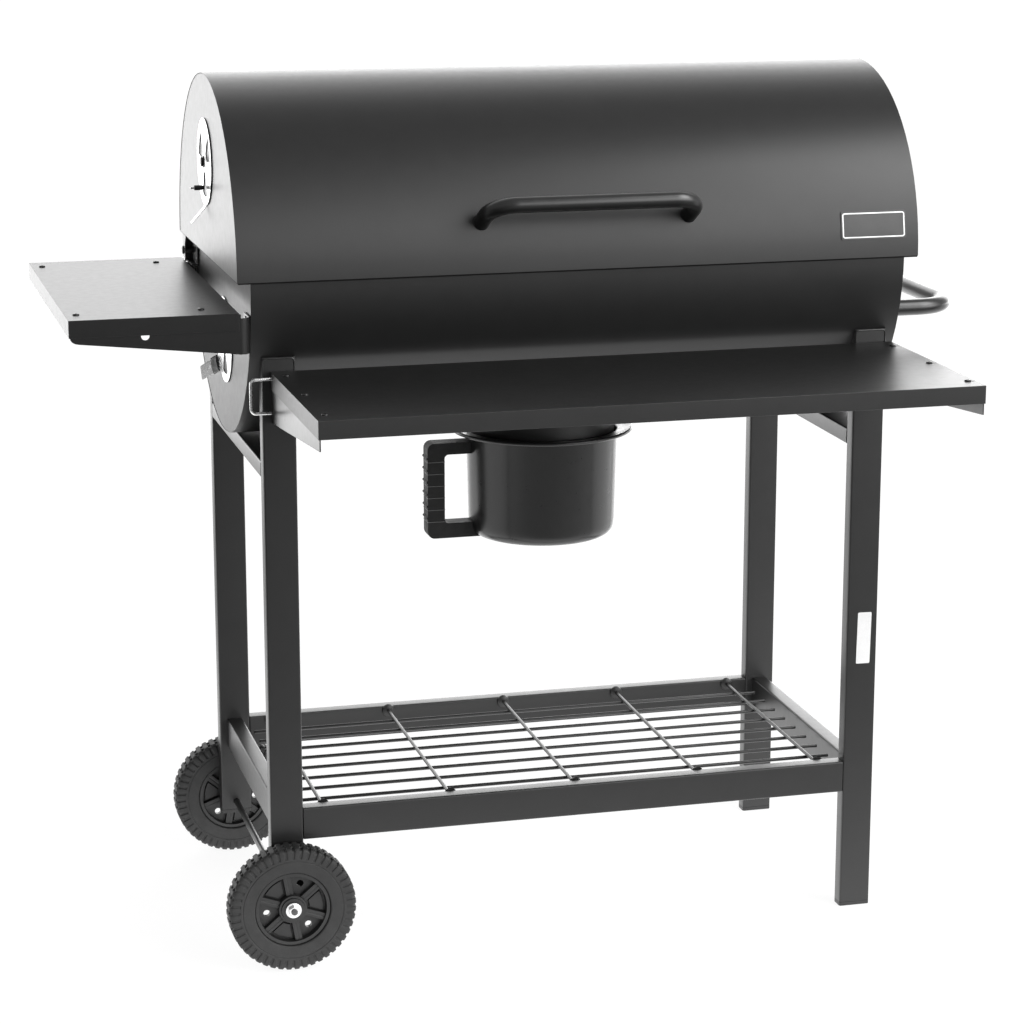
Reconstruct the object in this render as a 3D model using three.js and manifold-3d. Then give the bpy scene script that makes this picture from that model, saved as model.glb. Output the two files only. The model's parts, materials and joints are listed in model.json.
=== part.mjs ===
// Barrel charcoal grill on a four-leg wheeled stand.
// Millimetres, +Z up, +X to the right along the barrel, -Y towards the cook.
// Inside the model, x = 0 and y = 0 are the middle of the four legs and z = 0 is the floor.
// The exported group is shifted sideways, so that its origin is on the floor under the middle
// of the whole grill's bounding box.

import * as THREE from 'three';
import { mergeVertices } from 'three/addons/utils/BufferGeometryUtils.js';
import Module from 'manifold-3d';

const wasm = await Module();
wasm.setup();

// ---------------------------------------------------------------- driving dimensions

const GAP = 0.3;                 // clearance between touching pieces
const OVERSHOOT = 5;             // how far a cutter runs past the faces it cuts
const CUTTER_REACH = 450;        // half length of a cutter that runs right through the barrel

const TUBE_LONG = 40;            // rectangular tube section
const TUBE_SHORT = 20;
const TUBE_WALL = 1.2;
const TUBE_CORNER = 2.5;

const STANCE_X = 385;            // legs' outer faces, from the middle
const STANCE_Y = 197;
const LEG_TOP = 744;
const FOOT_HEIGHT = 5;
const WHEEL_LEG_BOTTOM = 62;
const FOOT_STUB = { plain: 14, besideAxle: 4 };   // how far a plug goes up inside its tube
const RAIL_TOP = 193;
const CROSSBAR_TOP = 618;

const BARREL_Z = 835;            // barrel axis height
const SHEET = 1.0;
const BOWL_RADIUS = 214.5;
const BOWL_END = 398.5;          // outer faces of the bowl's ends
const BOWL_RIM = BARREL_Z + 8;
const LID_RADIUS = 219;
const LID_END = 414.5;
const END_INSET = 0.5;           // an end disc's face lies this far inside its shell's edge
const END_SKIRT = 12;            // width of the edge that is turned in along the shell
const BOWL_END_FACE = BOWL_END - END_INSET;
const LID_END_FACE = LID_END - END_INSET;

const OUTLET_X = 4;              // ash outlet's middle
const OUTLET_RADIUS = 90;
const COLLAR_BOTTOM = 597;
const COLLAR_WALL = 2;
const CUP_TOP_RADIUS = 95.5;
const CUP_BOTTOM_RADIUS = 91.5;
const CUP_BRIM_RADIUS = 115;
const CUP_BRIM_Z = 602;
const CUP_BRIM_BEND = 4;
const CUP_BOTTOM_Z = 467;
const CUP_EDGE_RADIUS = 15;
const CUP_SHEET = 1.3;
const CUP_HANDLE = { outerX: -147.5, innerX: -124, top: 590, bottom: 468, halfWidth: 12, corner: 9,
  upperArm: 15, lowerArm: 22, clearance: 1.0 };

const SHELF_SHEET = 1.0;
const FRONT_SHELF = { left: -375, right: 391, front: -485.5, rear: -199.2, top: 728, flange: 21 };
const FRONT_BRACKET_REAR_Z = 667;
const FRONT_BRACKET_FRONT_Z = 694;
const SIDE_SHELF = { left: -607, right: -413, halfDepth: 219, top: 801, flange: 20.5 };
const SIDE_BRACKET_OUTER_Z = 774;
const SIDE_BRACKET_INNER_Z = 753;
const BRACKET_SHEET = 1.5;
const BRACKET_FLANGE = 20;
const SIDE_MOUNT = { depth: 45, top: 795 };       // flange of a side bracket on the bowl's end
const SIDE_BEND = 12;            // radius between a side bracket's web and its flange
const EYELET = { x: -520.5, z: 779.5, radius: 4.8 };

const AXLE_X = -365;
const AXLE_RADIUS = 4;
const AXLE_NUT = { flangeRadius: 9, flange: 1.6, radius: 7, length: 6 };
const WHEEL_RADIUS = 77.5;
const WHEEL_INNER_Y = 200;
const WHEEL_WIDTH = 30;
const AXLE_END = WHEEL_INNER_Y + WHEEL_WIDTH + 8;
const TYRE_SHOULDER = 5;
const RIM_RADIUS = 45.8;
const RIM_WALL = 5;
const RIM_HALF = 12;             // half widths of the wheel's rim, web, hub and spokes
const WEB_HALF = 1.5;
const HUB_HALF = 14.5;
const SPOKE_HALF = 9;
const HUB_RADIUS = 17.5;
const SPOKE_COUNT = 6;
const SPOKE_WIDTH = 7;

const HINGE_Y = 200;             // lid pivot
const HINGE_Z = 813;
const PIN_RADIUS = 4;
const PIN_HEAD_RADIUS = 7.5;
const RUNNING_FIT = 0.5;         // added to the radius of a hole that turns on a pin
const HINGE_PLATE = { front: 32, rear: 12, bottom: 797, top: 832, sheet: 2, foot: 9, leaf: 11.2 };
const STRAP = { half: 9, top: 880, front: 34, shoulder: 850 };

const HANDLE_RADIUS = 9.5;
const LID_HANDLE = { halfSpan: 126, footY: -211, footZ: 894, barY: -256, barZ: 919, bend: 32,
  buried: 12 };
const CARRY_RADIUS = 10;
const CARRY_HANDLE = { halfSpan: 185, barX: 478.5, z: 766.5, bend: 50 };
const HOOK = { radius: 2.1, x: -400, y: -212, top: 722, bottom: 682, bend: 6 };

const DAMPER_RADIUS = 52;
const DAMPER_SHEET = 1.4;
const DAMPER_PORT = { inner: 13, outer: 42, halfAngle: 24, middles: [-90, 30, 150] };
const PORT_DEPTH = 30;           // how deep the ports' cutters go behind an end's face
const CLOSED_TURN = 60;          // from a disc's ports at rest to those of the end behind it
const TONGUE_ROOT = 53;          // distance from a damper's centre at which its tongue bends out
const DAMPER_BOLT = { radius: 3, nut: 4, nutRadius: 5.5 };
const KNOB = { radius: 3, length: 17 };
const LID_DAMPER = { y: -4, z: 949, knobRise: -31, tongue: { turn: -90, lean: 42, length: 27, width: 12 } };
const BOWL_DAMPER = { y: -24, z: 736.5, knobRise: 33,
  tongue: { turn: -41, lean: 38, length: 33, width: 20 } };

const BADGE = { left: 315.5, right: 398.5, low: 5.9, high: 14.6, thickness: 1.0 };

const WIRE_RADIUS = 2.2;
const WIRE_WELD = 0.4;           // how far crossing wires are pressed into each other
const RACK = { longCount: 8, longPitch: 40, longHalf: 346, crossCount: 5, crossPitch: 158.5, z: 183.5 };
const GRATE = { top: 820, height: 8, inner: 2, outer: 384, halfDepth: 205, bar: 7, pitch: 21 };
const COAL = { z: 722, halfLength: 384, halfDepth: 176, sheet: 1.5,
  slot: [12, 96], pitch: [84, 116], halfColumns: 4, halfRows: 1 };
const LEDGE_DEPTH = 13;
const LEDGE_SHEET = 1.5;

const BARREL_SIDES = 72;
const CUTTER_SIDES = 96;
const ROUND = 36;                // sides of other large round pieces
const SMALL_ROUND = 12;          // sides of pins and bolts
const WIRE_SIDES = 6;

// ---------------------------------------------------------------- materials

const finish = (color, roughness, metalness) =>
  new THREE.MeshStandardMaterial({ color, roughness, metalness });

const PAINT = finish(0x1c1c1d, 0.45, 0.3);
const GLOSS_TUBE = finish(0x101011, 0.25, 0.3);
const ZINC = finish(0xc9cacc, 0.3, 1.0);
const ENAMEL = finish(0x1a1a1b, 0.35, 0.1);
const PLASTIC = finish(0x17171a, 0.6, 0.0);
const TYRE = finish(0x1d1d1e, 0.8, 0.0);
const CAST_IRON = finish(0x242425, 0.7, 0.2);
const BARE_STEEL = finish(0x8f9092, 0.45, 0.9);
const BADGE_PLATE = finish(0x3f3f40, 0.35, 0.2);

// ---------------------------------------------------------------- solids

/** A manifold solid of a closed three.js geometry. */
function solid(geometry) {
  const plain = new THREE.BufferGeometry();
  const source = geometry.index ? geometry.toNonIndexed() : geometry;
  plain.setAttribute('position', source.getAttribute('position'));
  const merged = mergeVertices(plain, 1e-4);
  const corners = merged.index.array;
  const triVerts = [];
  for (let i = 0; i < corners.length; i += 3) {
    const [a, b, c] = [corners[i], corners[i + 1], corners[i + 2]];
    if (a !== b && b !== c && c !== a) {
      triVerts.push(a, b, c);
    }
  }
  return new wasm.Manifold(new wasm.Mesh({
    numProp: 3,
    vertProperties: new Float32Array(merged.getAttribute('position').array),
    triVerts: new Uint32Array(triVerts),
  }));
}

/** A three.js geometry of a manifold solid. */
function geometryOf(body) {
  const mesh = body.getMesh();
  const geometry = new THREE.BufferGeometry();
  geometry.setAttribute('position', new THREE.BufferAttribute(mesh.vertProperties, 3));
  geometry.setIndex(new THREE.BufferAttribute(mesh.triVerts, 1));
  return geometry;
}

const join = (...pieces) => pieces.reduce((sum, piece) => sum.add(piece));
const cut = (body, ...tools) => tools.reduce((rest, tool) => rest.subtract(tool), body);

/** A box between two corners. */
function box([x0, y0, z0], [x1, y1, z1]) {
  const geometry = new THREE.BoxGeometry(x1 - x0, y1 - y0, z1 - z0);
  geometry.translate((x0 + x1) / 2, (y0 + y1) / 2, (z0 + z1) / 2);
  return solid(geometry);
}

/** A cylinder from point a to point b. */
function rod(a, b, radius, sides = SMALL_ROUND) {
  const start = new THREE.Vector3(...a);
  const along = new THREE.Vector3(...b).sub(start);
  const geometry = new THREE.CylinderGeometry(radius, radius, along.length(), sides);
  geometry.applyQuaternion(new THREE.Quaternion().setFromUnitVectors(
    new THREE.Vector3(0, 1, 0), along.clone().normalize()));
  const middle = start.addScaledVector(along, 0.5);
  geometry.translate(middle.x, middle.y, middle.z);
  return solid(geometry);
}

const EXTRUDE_AXES = {
  x: new THREE.Matrix4().set(0, 0, 1, 0, 1, 0, 0, 0, 0, 1, 0, 0, 0, 0, 0, 1),    // outline in Y, Z
  y: new THREE.Matrix4().set(1, 0, 0, 0, 0, 0, -1, 0, 0, 1, 0, 0, 0, 0, 0, 1),   // outline in X, Z
  z: new THREE.Matrix4(),                                                        // outline in X, Y
};

/** A flat outline pulled straight along an axis, from one coordinate to the other. */
function prism(shape, axis, from, to, curveSegments = 1) {
  const geometry = new THREE.ExtrudeGeometry(shape, {
    depth: to - from, bevelEnabled: false, curveSegments,
  });
  geometry.translate(0, 0, axis === 'y' ? -to : from);
  geometry.applyMatrix4(EXTRUDE_AXES[axis]);
  return solid(geometry);
}

/** A flat outline through points. */
const outline = (points) => new THREE.Shape(points.map(([a, b]) => new THREE.Vector2(a, b)));

/** A rectangle with round corners, centred on (a, b). */
function roundedRectangle(a, b, width, height, radius, Kind = THREE.Shape) {
  const shape = new Kind();
  const [w, h] = [width / 2 - radius, height / 2 - radius];
  shape.absarc(a + w, b + h, radius, 0, Math.PI / 2);
  shape.absarc(a - w, b + h, radius, Math.PI / 2, Math.PI);
  shape.absarc(a - w, b - h, radius, Math.PI, 1.5 * Math.PI);
  shape.absarc(a + w, b - h, radius, 1.5 * Math.PI, 2 * Math.PI);
  shape.closePath();
  return shape;
}

/** Rectangular tube along an axis, its section centred on (a, b). */
function rectangularTube(axis, a, b, width, height, from, to) {
  const shape = roundedRectangle(a, b, width, height, TUBE_CORNER);
  shape.holes.push(roundedRectangle(
    a, b, width - 2 * TUBE_WALL, height - 2 * TUBE_WALL, TUBE_CORNER - TUBE_WALL, THREE.Path));
  return prism(shape, axis, from, to);
}

/** Part of a ring in a plane; angles in degrees. */
function ringSector([a, b], outer, inner, startDegrees, endDegrees) {
  const [start, end] = [startDegrees, endDegrees].map(THREE.MathUtils.degToRad);
  const shape = new THREE.Shape();
  shape.absarc(a, b, outer, start, end, false);
  shape.absarc(a, b, inner, end, start, true);
  shape.closePath();
  return shape;
}

/** A solid of revolution about a vertical axis; the profile is a list of [radius, z]. */
function turned(profile, sides = ROUND) {
  const points = profile.map(([radius, z]) => new THREE.Vector2(radius, z));
  if (THREE.ShapeUtils.area(points) < 0) {
    points.reverse();
  }
  const geometry = new THREE.LatheGeometry(points, sides);
  geometry.rotateX(Math.PI / 2);
  return solid(geometry);
}

/** Turned solid laid along the barrel axis: the profile is a list of [radius, x]. */
const turnedAboutBarrel = (profile) =>
  turned(profile, BARREL_SIDES).rotate([0, 90, 0]).translate([0, 0, BARREL_Z]);

/** Points of a circle's arc for a profile, from one angle to the other. */
function arcPoints([a, b], radius, startDegrees, endDegrees, steps = 3) {
  return Array.from({ length: steps + 1 }, (_, i) => {
    const angle = THREE.MathUtils.degToRad(startDegrees + (endDegrees - startDegrees) * i / steps);
    return [a + radius * Math.cos(angle), b + radius * Math.sin(angle)];
  });
}

/** Round bar through corner points in one plane, each inner corner bent to a radius. */
function bentRod(corners, bend, radius, sides = 10, bendSteps = 6) {
  const points = corners.map((corner) => new THREE.Vector3(...corner));
  const heading = (i) => points[i + 1].clone().sub(points[i]).normalize();
  const normal = heading(0).cross(heading(1)).normalize();
  const stations = [[points[0], heading(0)]];
  for (let i = 1; i < points.length - 1; i += 1) {
    const before = heading(i - 1);
    const turn = before.angleTo(heading(i));
    const start = points[i].clone().addScaledVector(before, -bend * Math.tan(turn / 2));
    const centre = start.clone().addScaledVector(normal.clone().cross(before), bend);
    for (let step = 0; step <= bendSteps; step += 1) {
      const angle = turn * step / bendSteps;
      const spoke = start.clone().sub(centre).applyAxisAngle(normal, angle);
      stations.push([centre.clone().add(spoke), before.clone().applyAxisAngle(normal, angle)]);
    }
  }
  stations.push([points.at(-1), heading(points.length - 2)]);
  return sweptCircle(stations, normal, radius, sides);
}

/** A round bar from rings at stations, each a point and a heading at right angles to normal. */
function sweptCircle(stations, normal, radius, sides) {
  const vertices = [];
  const corners = [];
  stations.forEach(([point, direction], station) => {
    const across = direction.clone().cross(normal);
    for (let side = 0; side < sides; side += 1) {
      const angle = 2 * Math.PI * side / sides;
      const vertex = point.clone()
        .addScaledVector(across, radius * Math.cos(angle))
        .addScaledVector(normal, -radius * Math.sin(angle));
      vertices.push(vertex.x, vertex.y, vertex.z);
      if (station > 0) {
        const [a, b] = [station * sides + side, station * sides + (side + 1) % sides];
        corners.push(a - sides, b, a, a - sides, b - sides, b);
      }
    }
  });
  const last = (stations.length - 1) * sides;
  for (let side = 1; side < sides - 1; side += 1) {
    corners.push(0, side + 1, side, last, last + side, last + side + 1);
  }
  const geometry = new THREE.BufferGeometry();
  geometry.setAttribute('position', new THREE.Float32BufferAttribute(vertices, 3));
  geometry.setIndex(corners);
  return solid(geometry);
}

// ---------------------------------------------------------------- scene assembly

const grill = new THREE.Group();

/** A group inside the grill; its pieces are modelled about its own origin. */
function subassembly(x = 0, y = 0, z = 0) {
  const group = new THREE.Group();
  group.position.set(x, y, z);
  grill.add(group);
  return group;
}

const stand = subassembly();
const bowl = subassembly();
const lid = subassembly();
const shelves = subassembly();
const ashCatcher = subassembly(OUTLET_X, 0, 0);

/** Adds a solid to a group as a named mesh. */
function place(group, name, body, material) {
  const mesh = new THREE.Mesh(geometryOf(body), material);
  mesh.name = name;
  group.add(mesh);
}

const SIDES = [['left', -1], ['right', 1]];
const ENDS = [['front', -1], ['rear', 1]];
const LEG_X = STANCE_X - TUBE_LONG / 2;
const LEG_Y = STANCE_Y - TUBE_SHORT / 2;
const LEG_INNER_X = STANCE_X - TUBE_LONG;
const LEG_INNER_Y = STANCE_Y - TUBE_SHORT;

/** A long cylinder about the barrel axis, for cutting pieces to the barrel's curve. */
const barrelCutter = (radius) =>
  rod([-CUTTER_REACH, 0, BARREL_Z], [CUTTER_REACH, 0, BARREL_Z], radius, CUTTER_SIDES);

/** A rod along the axle's line, between two distances from the middle. */
const alongAxle = (from, to, radius, sides) =>
  rod([AXLE_X, from, WHEEL_RADIUS], [AXLE_X, to, WHEEL_RADIUS], radius, sides);

// ---------------------------------------------------------------- stand

function addLegs() {
  const axleHole = alongAxle(-AXLE_END, AXLE_END, AXLE_RADIUS + RUNNING_FIT);
  const saddle = barrelCutter(BOWL_RADIUS + GAP);
  for (const [end, ySign] of ENDS) {
    for (const [side, xSign] of SIDES) {
      const bottom = xSign < 0 ? WHEEL_LEG_BOTTOM + FOOT_HEIGHT : FOOT_HEIGHT;
      const tube = rectangularTube(
        'z', xSign * LEG_X, ySign * LEG_Y, TUBE_LONG, TUBE_SHORT, bottom, LEG_TOP);
      const stub = xSign < 0 ? FOOT_STUB.besideAxle : FOOT_STUB.plain;
      place(stand, `leg_${end}_${side}`, cut(tube, saddle, axleHole), PAINT);
      place(stand, `foot_${end}_${side}`, footPlug(xSign * LEG_X, ySign * LEG_Y, bottom, stub), PLASTIC);
    }
  }
}

/** Plastic plug that closes a leg's lower end: a pad with a stub up inside the tube. */
function footPlug(x, y, tubeBottom, stubHeight) {
  const inset = 2 * (TUBE_WALL + GAP);
  const pad = roundedRectangle(x, y, TUBE_LONG, TUBE_SHORT, TUBE_CORNER);
  const stub = roundedRectangle(x, y, TUBE_LONG - inset, TUBE_SHORT - inset, TUBE_CORNER - TUBE_WALL);
  return join(
    prism(pad, 'z', tubeBottom - FOOT_HEIGHT, tubeBottom - GAP),
    prism(stub, 'z', tubeBottom - 1, tubeBottom + stubHeight));
}

function addRails() {
  const railZ = RAIL_TOP - TUBE_LONG / 2;
  const halfX = LEG_INNER_X - GAP;
  const halfY = LEG_INNER_Y - GAP;
  for (const [end, ySign] of ENDS) {
    const rail = rectangularTube('x', ySign * LEG_Y, railZ, TUBE_SHORT, TUBE_LONG, -halfX, halfX);
    place(stand, `lower_rail_${end}`, rail, PAINT);
  }
  for (const [side, xSign] of SIDES) {
    const rail = rectangularTube('y', xSign * LEG_X, railZ, TUBE_SHORT, TUBE_LONG, -halfY, halfY);
    place(stand, `lower_rail_${side}`, rail, PAINT);
    const crossbarZ = CROSSBAR_TOP - TUBE_SHORT / 2;
    const crossbar = rectangularTube(
      'y', xSign * LEG_X, crossbarZ, TUBE_LONG, TUBE_SHORT, -halfY, halfY);
    place(stand, `crossbar_${side}`, crossbar, PAINT);
  }
}

/** Welded wire mat between the lower rails: long wires under five cross wires. */
function addBottomRack() {
  const wires = [];
  for (let i = 0; i < RACK.longCount; i += 1) {
    const y = (i - (RACK.longCount - 1) / 2) * RACK.longPitch;
    wires.push(rod([-RACK.longHalf, y, RACK.z], [RACK.longHalf, y, RACK.z], WIRE_RADIUS, WIRE_SIDES));
  }
  const crossZ = RACK.z + 2 * WIRE_RADIUS - WIRE_WELD;
  const reach = LEG_INNER_Y - GAP;
  for (let i = 0; i < RACK.crossCount; i += 1) {
    const x = (i - (RACK.crossCount - 1) / 2) * RACK.crossPitch;
    wires.push(rod([x, -reach, crossZ], [x, reach, crossZ], WIRE_RADIUS, WIRE_SIDES));
  }
  place(stand, 'bottom_rack', join(...wires), PAINT);
}

// ---------------------------------------------------------------- wheels

function addAxle() {
  place(stand, 'axle', alongAxle(-AXLE_END, AXLE_END, AXLE_RADIUS), ZINC);
  for (const [end, ySign] of ENDS) {
    const inner = WHEEL_INNER_Y + WHEEL_WIDTH + GAP;
    const at = (from, to, radius, sides) => alongAxle(
      ySign * (inner + from), ySign * (inner + to), radius, sides);
    const nut = join(
      at(0, AXLE_NUT.flange, AXLE_NUT.flangeRadius, 16),
      at(AXLE_NUT.flange / 2, AXLE_NUT.length, AXLE_NUT.radius, 6));
    const bore = at(-OVERSHOOT, AXLE_NUT.length + OVERSHOOT, AXLE_RADIUS + GAP);
    place(stand, `axle_nut_${end}`, cut(nut, bore), ZINC);
  }
}

/** The tyre and the wheel inside it are turned about Z, with z = 0 at their middle. */
function tyreBody() {
  const half = WHEEL_WIDTH / 2;
  const inner = RIM_RADIUS + GAP;
  const tread = half - TYRE_SHOULDER;
  const sidewall = WHEEL_RADIUS - TYRE_SHOULDER;
  return turned([
    [inner, -half], [sidewall, -half], [WHEEL_RADIUS, -tread], [WHEEL_RADIUS, tread],
    [sidewall, half], [inner, half], [inner, -half],
  ]);
}

function wheelBody() {
  const inner = RIM_RADIUS - RIM_WALL;
  const ring = turned([
    [inner, -RIM_HALF], [RIM_RADIUS, -RIM_HALF], [RIM_RADIUS, RIM_HALF], [inner, RIM_HALF],
    [inner, -RIM_HALF],
  ]);
  const disc = (half, radius, sides) => rod([0, 0, -half], [0, 0, half], radius, sides);
  const intoRim = RIM_RADIUS - RIM_WALL / 2;
  const spokes = Array.from({ length: SPOKE_COUNT / 2 }, (_, i) => {
    const bar = box([-intoRim, -SPOKE_WIDTH / 2, -SPOKE_HALF], [intoRim, SPOKE_WIDTH / 2, SPOKE_HALF]);
    return bar.rotate([0, 0, i * 360 / SPOKE_COUNT]);
  });
  return cut(
    join(ring, disc(WEB_HALF, intoRim, ROUND), disc(HUB_HALF, HUB_RADIUS, ROUND / 2), ...spokes),
    disc(HUB_HALF + OVERSHOOT, AXLE_RADIUS + RUNNING_FIT));
}

function addWheels() {
  for (const [end, ySign] of ENDS) {
    const hub = subassembly(AXLE_X, ySign * (WHEEL_INNER_Y + WHEEL_WIDTH / 2), WHEEL_RADIUS);
    hub.rotation.x = Math.PI / 2;
    place(hub, `wheel_${end}`, wheelBody(), PLASTIC);
    place(hub, `tyre_${end}`, tyreBody(), TYRE);
  }
}

// ---------------------------------------------------------------- bowl

function addBowl() {
  const outlet = rod([OUTLET_X, 0, CUP_BOTTOM_Z], [OUTLET_X, 0, BARREL_Z], OUTLET_RADIUS, ROUND);
  const above = barrelBlock(BOWL_RIM, BARREL_Z + CUTTER_REACH);
  place(bowl, 'bowl_shell', cut(shellBody(BOWL_RADIUS, BOWL_END), above, outlet), PAINT);
  for (const [side, xSign] of SIDES) {
    const ports = xSign < 0 ? damperPorts(BOWL_DAMPER, BOWL_END_FACE, CLOSED_TURN) : [];
    const end = endBody(BOWL_RADIUS, BOWL_END_FACE, xSign);
    place(bowl, `bowl_end_${side}`, cut(end, above, pinHole(xSign), ...ports), PAINT);
  }
}

/** A block that takes in the whole barrel between two heights. */
const barrelBlock = (low, high) =>
  box([-CUTTER_REACH, -CUTTER_REACH, low], [CUTTER_REACH, CUTTER_REACH, high]);

/** A rolled sheet barrel, open at both ends. */
function shellBody(radius, end) {
  const inner = radius - SHEET;
  return turnedAboutBarrel([
    [inner, -end], [radius, -end], [radius, end], [inner, end], [inner, -end],
  ]);
}

/** Disc with a skirt turned inwards, just inside the end of a shell. */
function endBody(shellRadius, face, xSign) {
  const outer = shellRadius - SHEET - GAP;
  const disc = turnedAboutBarrel([
    [0, face - SHEET], [0, face], [outer, face], [outer, face - END_SKIRT],
    [outer - SHEET, face - END_SKIRT], [outer - SHEET, face - SHEET], [0, face - SHEET],
  ]);
  return xSign > 0 ? disc : disc.mirror([1, 0, 0]);
}

function addAshCollar() {
  const outer = OUTLET_RADIUS + COLLAR_WALL;
  const top = COLLAR_BOTTOM + outer;
  const pipe = turned([
    [OUTLET_RADIUS, COLLAR_BOTTOM], [outer, COLLAR_BOTTOM], [outer, top], [OUTLET_RADIUS, top],
    [OUTLET_RADIUS, COLLAR_BOTTOM],
  ]);
  place(ashCatcher, 'ash_collar', cut(pipe, barrelCutter(BOWL_RADIUS + GAP)), PAINT);
}

/** Angle strips along the bowl's inside, on which the grates lie. */
function addLedges() {
  const inside = BOWL_RADIUS - SHEET - 2 * GAP;
  const halfLength = BOWL_END_FACE - END_SKIRT - 2 * GAP;
  const levels = [['grate_ledge', GRATE.top - GRATE.height - GAP], ['coal_ledge', COAL.z - GAP]];
  for (const [name, top] of levels) {
    const low = top - LEDGE_DEPTH;
    const outer = Math.sqrt(inside ** 2 - (BARREL_Z - low) ** 2);
    const section = outline([
      [outer, low], [outer, top], [outer - LEDGE_DEPTH, top],
      [outer - LEDGE_DEPTH, top - LEDGE_SHEET], [outer - LEDGE_SHEET, top - LEDGE_SHEET],
      [outer - LEDGE_SHEET, low],
    ]);
    const strip = prism(section, 'x', -halfLength, halfLength);
    place(bowl, `${name}_rear`, strip, BARE_STEEL);
    place(bowl, `${name}_front`, strip.mirror([0, 1, 0]), BARE_STEEL);
  }
}

// ---------------------------------------------------------------- grates

/** One half of the cooking grate: a cast frame and bars that run from front to back. */
function cookingGrateBody() {
  const g = GRATE;
  const plate = box([g.inner, -g.halfDepth, g.top - g.height], [g.outer, g.halfDepth, g.top]);
  const count = Math.floor((g.outer - g.inner - g.bar) / g.pitch);
  const first = (g.inner + g.outer - (count - 1) * g.pitch) / 2;
  const slots = [];
  for (let i = 0; i < count; i += 1) {
    const x = first + i * g.pitch;
    const halfSlot = (g.pitch - g.bar) / 2;
    for (const [from, to] of [[-g.halfDepth + g.bar, -g.bar / 2], [g.bar / 2, g.halfDepth - g.bar]]) {
      slots.push(box([x - halfSlot, from, g.top - g.height - OVERSHOOT],
        [x + halfSlot, to, g.top + OVERSHOOT]));
    }
  }
  return cut(plate, ...slots);
}

function addGrates() {
  const half = cookingGrateBody();
  place(bowl, 'cooking_grate_right', half, CAST_IRON);
  place(bowl, 'cooking_grate_left', half.mirror([1, 0, 0]), CAST_IRON);

  const plate = box([-COAL.halfLength, -COAL.halfDepth, COAL.z],
    [COAL.halfLength, COAL.halfDepth, COAL.z + COAL.sheet]);
  const slots = [];
  const [halfWidth, halfLength] = [COAL.slot[0] / 2, COAL.slot[1] / 2];
  for (let column = -COAL.halfColumns; column <= COAL.halfColumns; column += 1) {
    for (let row = -COAL.halfRows; row <= COAL.halfRows; row += 1) {
      const [x, y] = [column * COAL.pitch[0], row * COAL.pitch[1]];
      slots.push(box([x - halfWidth, y - halfLength, COAL.z - OVERSHOOT],
        [x + halfWidth, y + halfLength, COAL.z + OVERSHOOT]));
    }
  }
  place(bowl, 'charcoal_grate', cut(plate, ...slots), BARE_STEEL);
}

// ---------------------------------------------------------------- ash cup

function addAshCup() {
  const r = CUP_EDGE_RADIUS;
  const edge = [CUP_BOTTOM_RADIUS - r, CUP_BOTTOM_Z + r];
  const wallTop = CUP_BRIM_Z - CUP_BRIM_BEND;
  const cup = turned([
    [0, CUP_BOTTOM_Z],
    ...arcPoints(edge, r, -90, 0),
    [CUP_TOP_RADIUS, wallTop],
    [CUP_TOP_RADIUS + 2 * CUP_SHEET, CUP_BRIM_Z - CUP_SHEET],
    [CUP_BRIM_RADIUS, CUP_BRIM_Z - CUP_SHEET],
    [CUP_BRIM_RADIUS, CUP_BRIM_Z],
    [CUP_TOP_RADIUS + CUP_SHEET, CUP_BRIM_Z],
    [CUP_TOP_RADIUS - CUP_SHEET, wallTop],
    ...arcPoints(edge, r - CUP_SHEET, 0, -90),
    [0, CUP_BOTTOM_Z + CUP_SHEET],
  ]);
  place(ashCatcher, 'ash_cup', cup, ENAMEL);
  place(ashCatcher, 'cup_handle', cupHandleBody(), PLASTIC);
}

/** D-shaped plastic grip, whose two arms end on the cup's wall. */
function cupHandleBody() {
  const h = CUP_HANDLE;
  const [outerX, innerX] = [h.outerX - OUTLET_X, h.innerX - OUTLET_X];
  const armEnd = -CUP_BOTTOM_RADIUS / 2;
  const frame = roundedRectangle((outerX + armEnd) / 2, (h.top + h.bottom) / 2, armEnd - outerX,
    h.top - h.bottom, h.corner);
  const opening = box([innerX, -h.halfWidth - OVERSHOOT, h.bottom + h.lowerArm],
    [armEnd + OVERSHOOT, h.halfWidth + OVERSHOOT, h.top - h.upperArm]);
  const grip = prism(frame, 'y', -h.halfWidth, h.halfWidth, 2);
  const slope = (CUP_TOP_RADIUS - CUP_BOTTOM_RADIUS) / (CUP_BRIM_Z - CUP_BOTTOM_Z);
  const low = CUP_BOTTOM_RADIUS + h.clearance - slope * OVERSHOOT;
  const high = CUP_TOP_RADIUS + h.clearance + slope * OVERSHOOT;
  const wall = turned([
    [0, CUP_BOTTOM_Z - OVERSHOOT], [low, CUP_BOTTOM_Z - OVERSHOOT],
    [high, CUP_BRIM_Z + OVERSHOOT], [0, CUP_BRIM_Z + OVERSHOOT],
  ], BARREL_SIDES);
  return cut(grip, opening, wall);
}

// ---------------------------------------------------------------- shelves

/** Folded sheet tray, flanges down: open on the side towards the barrel. */
function addFrontShelf() {
  const s = FRONT_SHELF;
  const body = box([s.left, s.front, s.top - s.flange], [s.right, s.rear, s.top]);
  const inside = box([s.left + SHELF_SHEET, s.front + SHELF_SHEET, s.top - s.flange - OVERSHOOT],
    [s.right - SHELF_SHEET, s.rear + OVERSHOOT, s.top - SHELF_SHEET]);
  place(shelves, 'front_shelf', cut(body, inside), PAINT);
  const inset = SHELF_SHEET + GAP;
  place(shelves, 'front_bracket_left', frontBracketBody(s.left + inset, 1), PAINT);
  place(shelves, 'front_bracket_right', frontBracketBody(s.right - inset, -1), PAINT);
}

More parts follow.
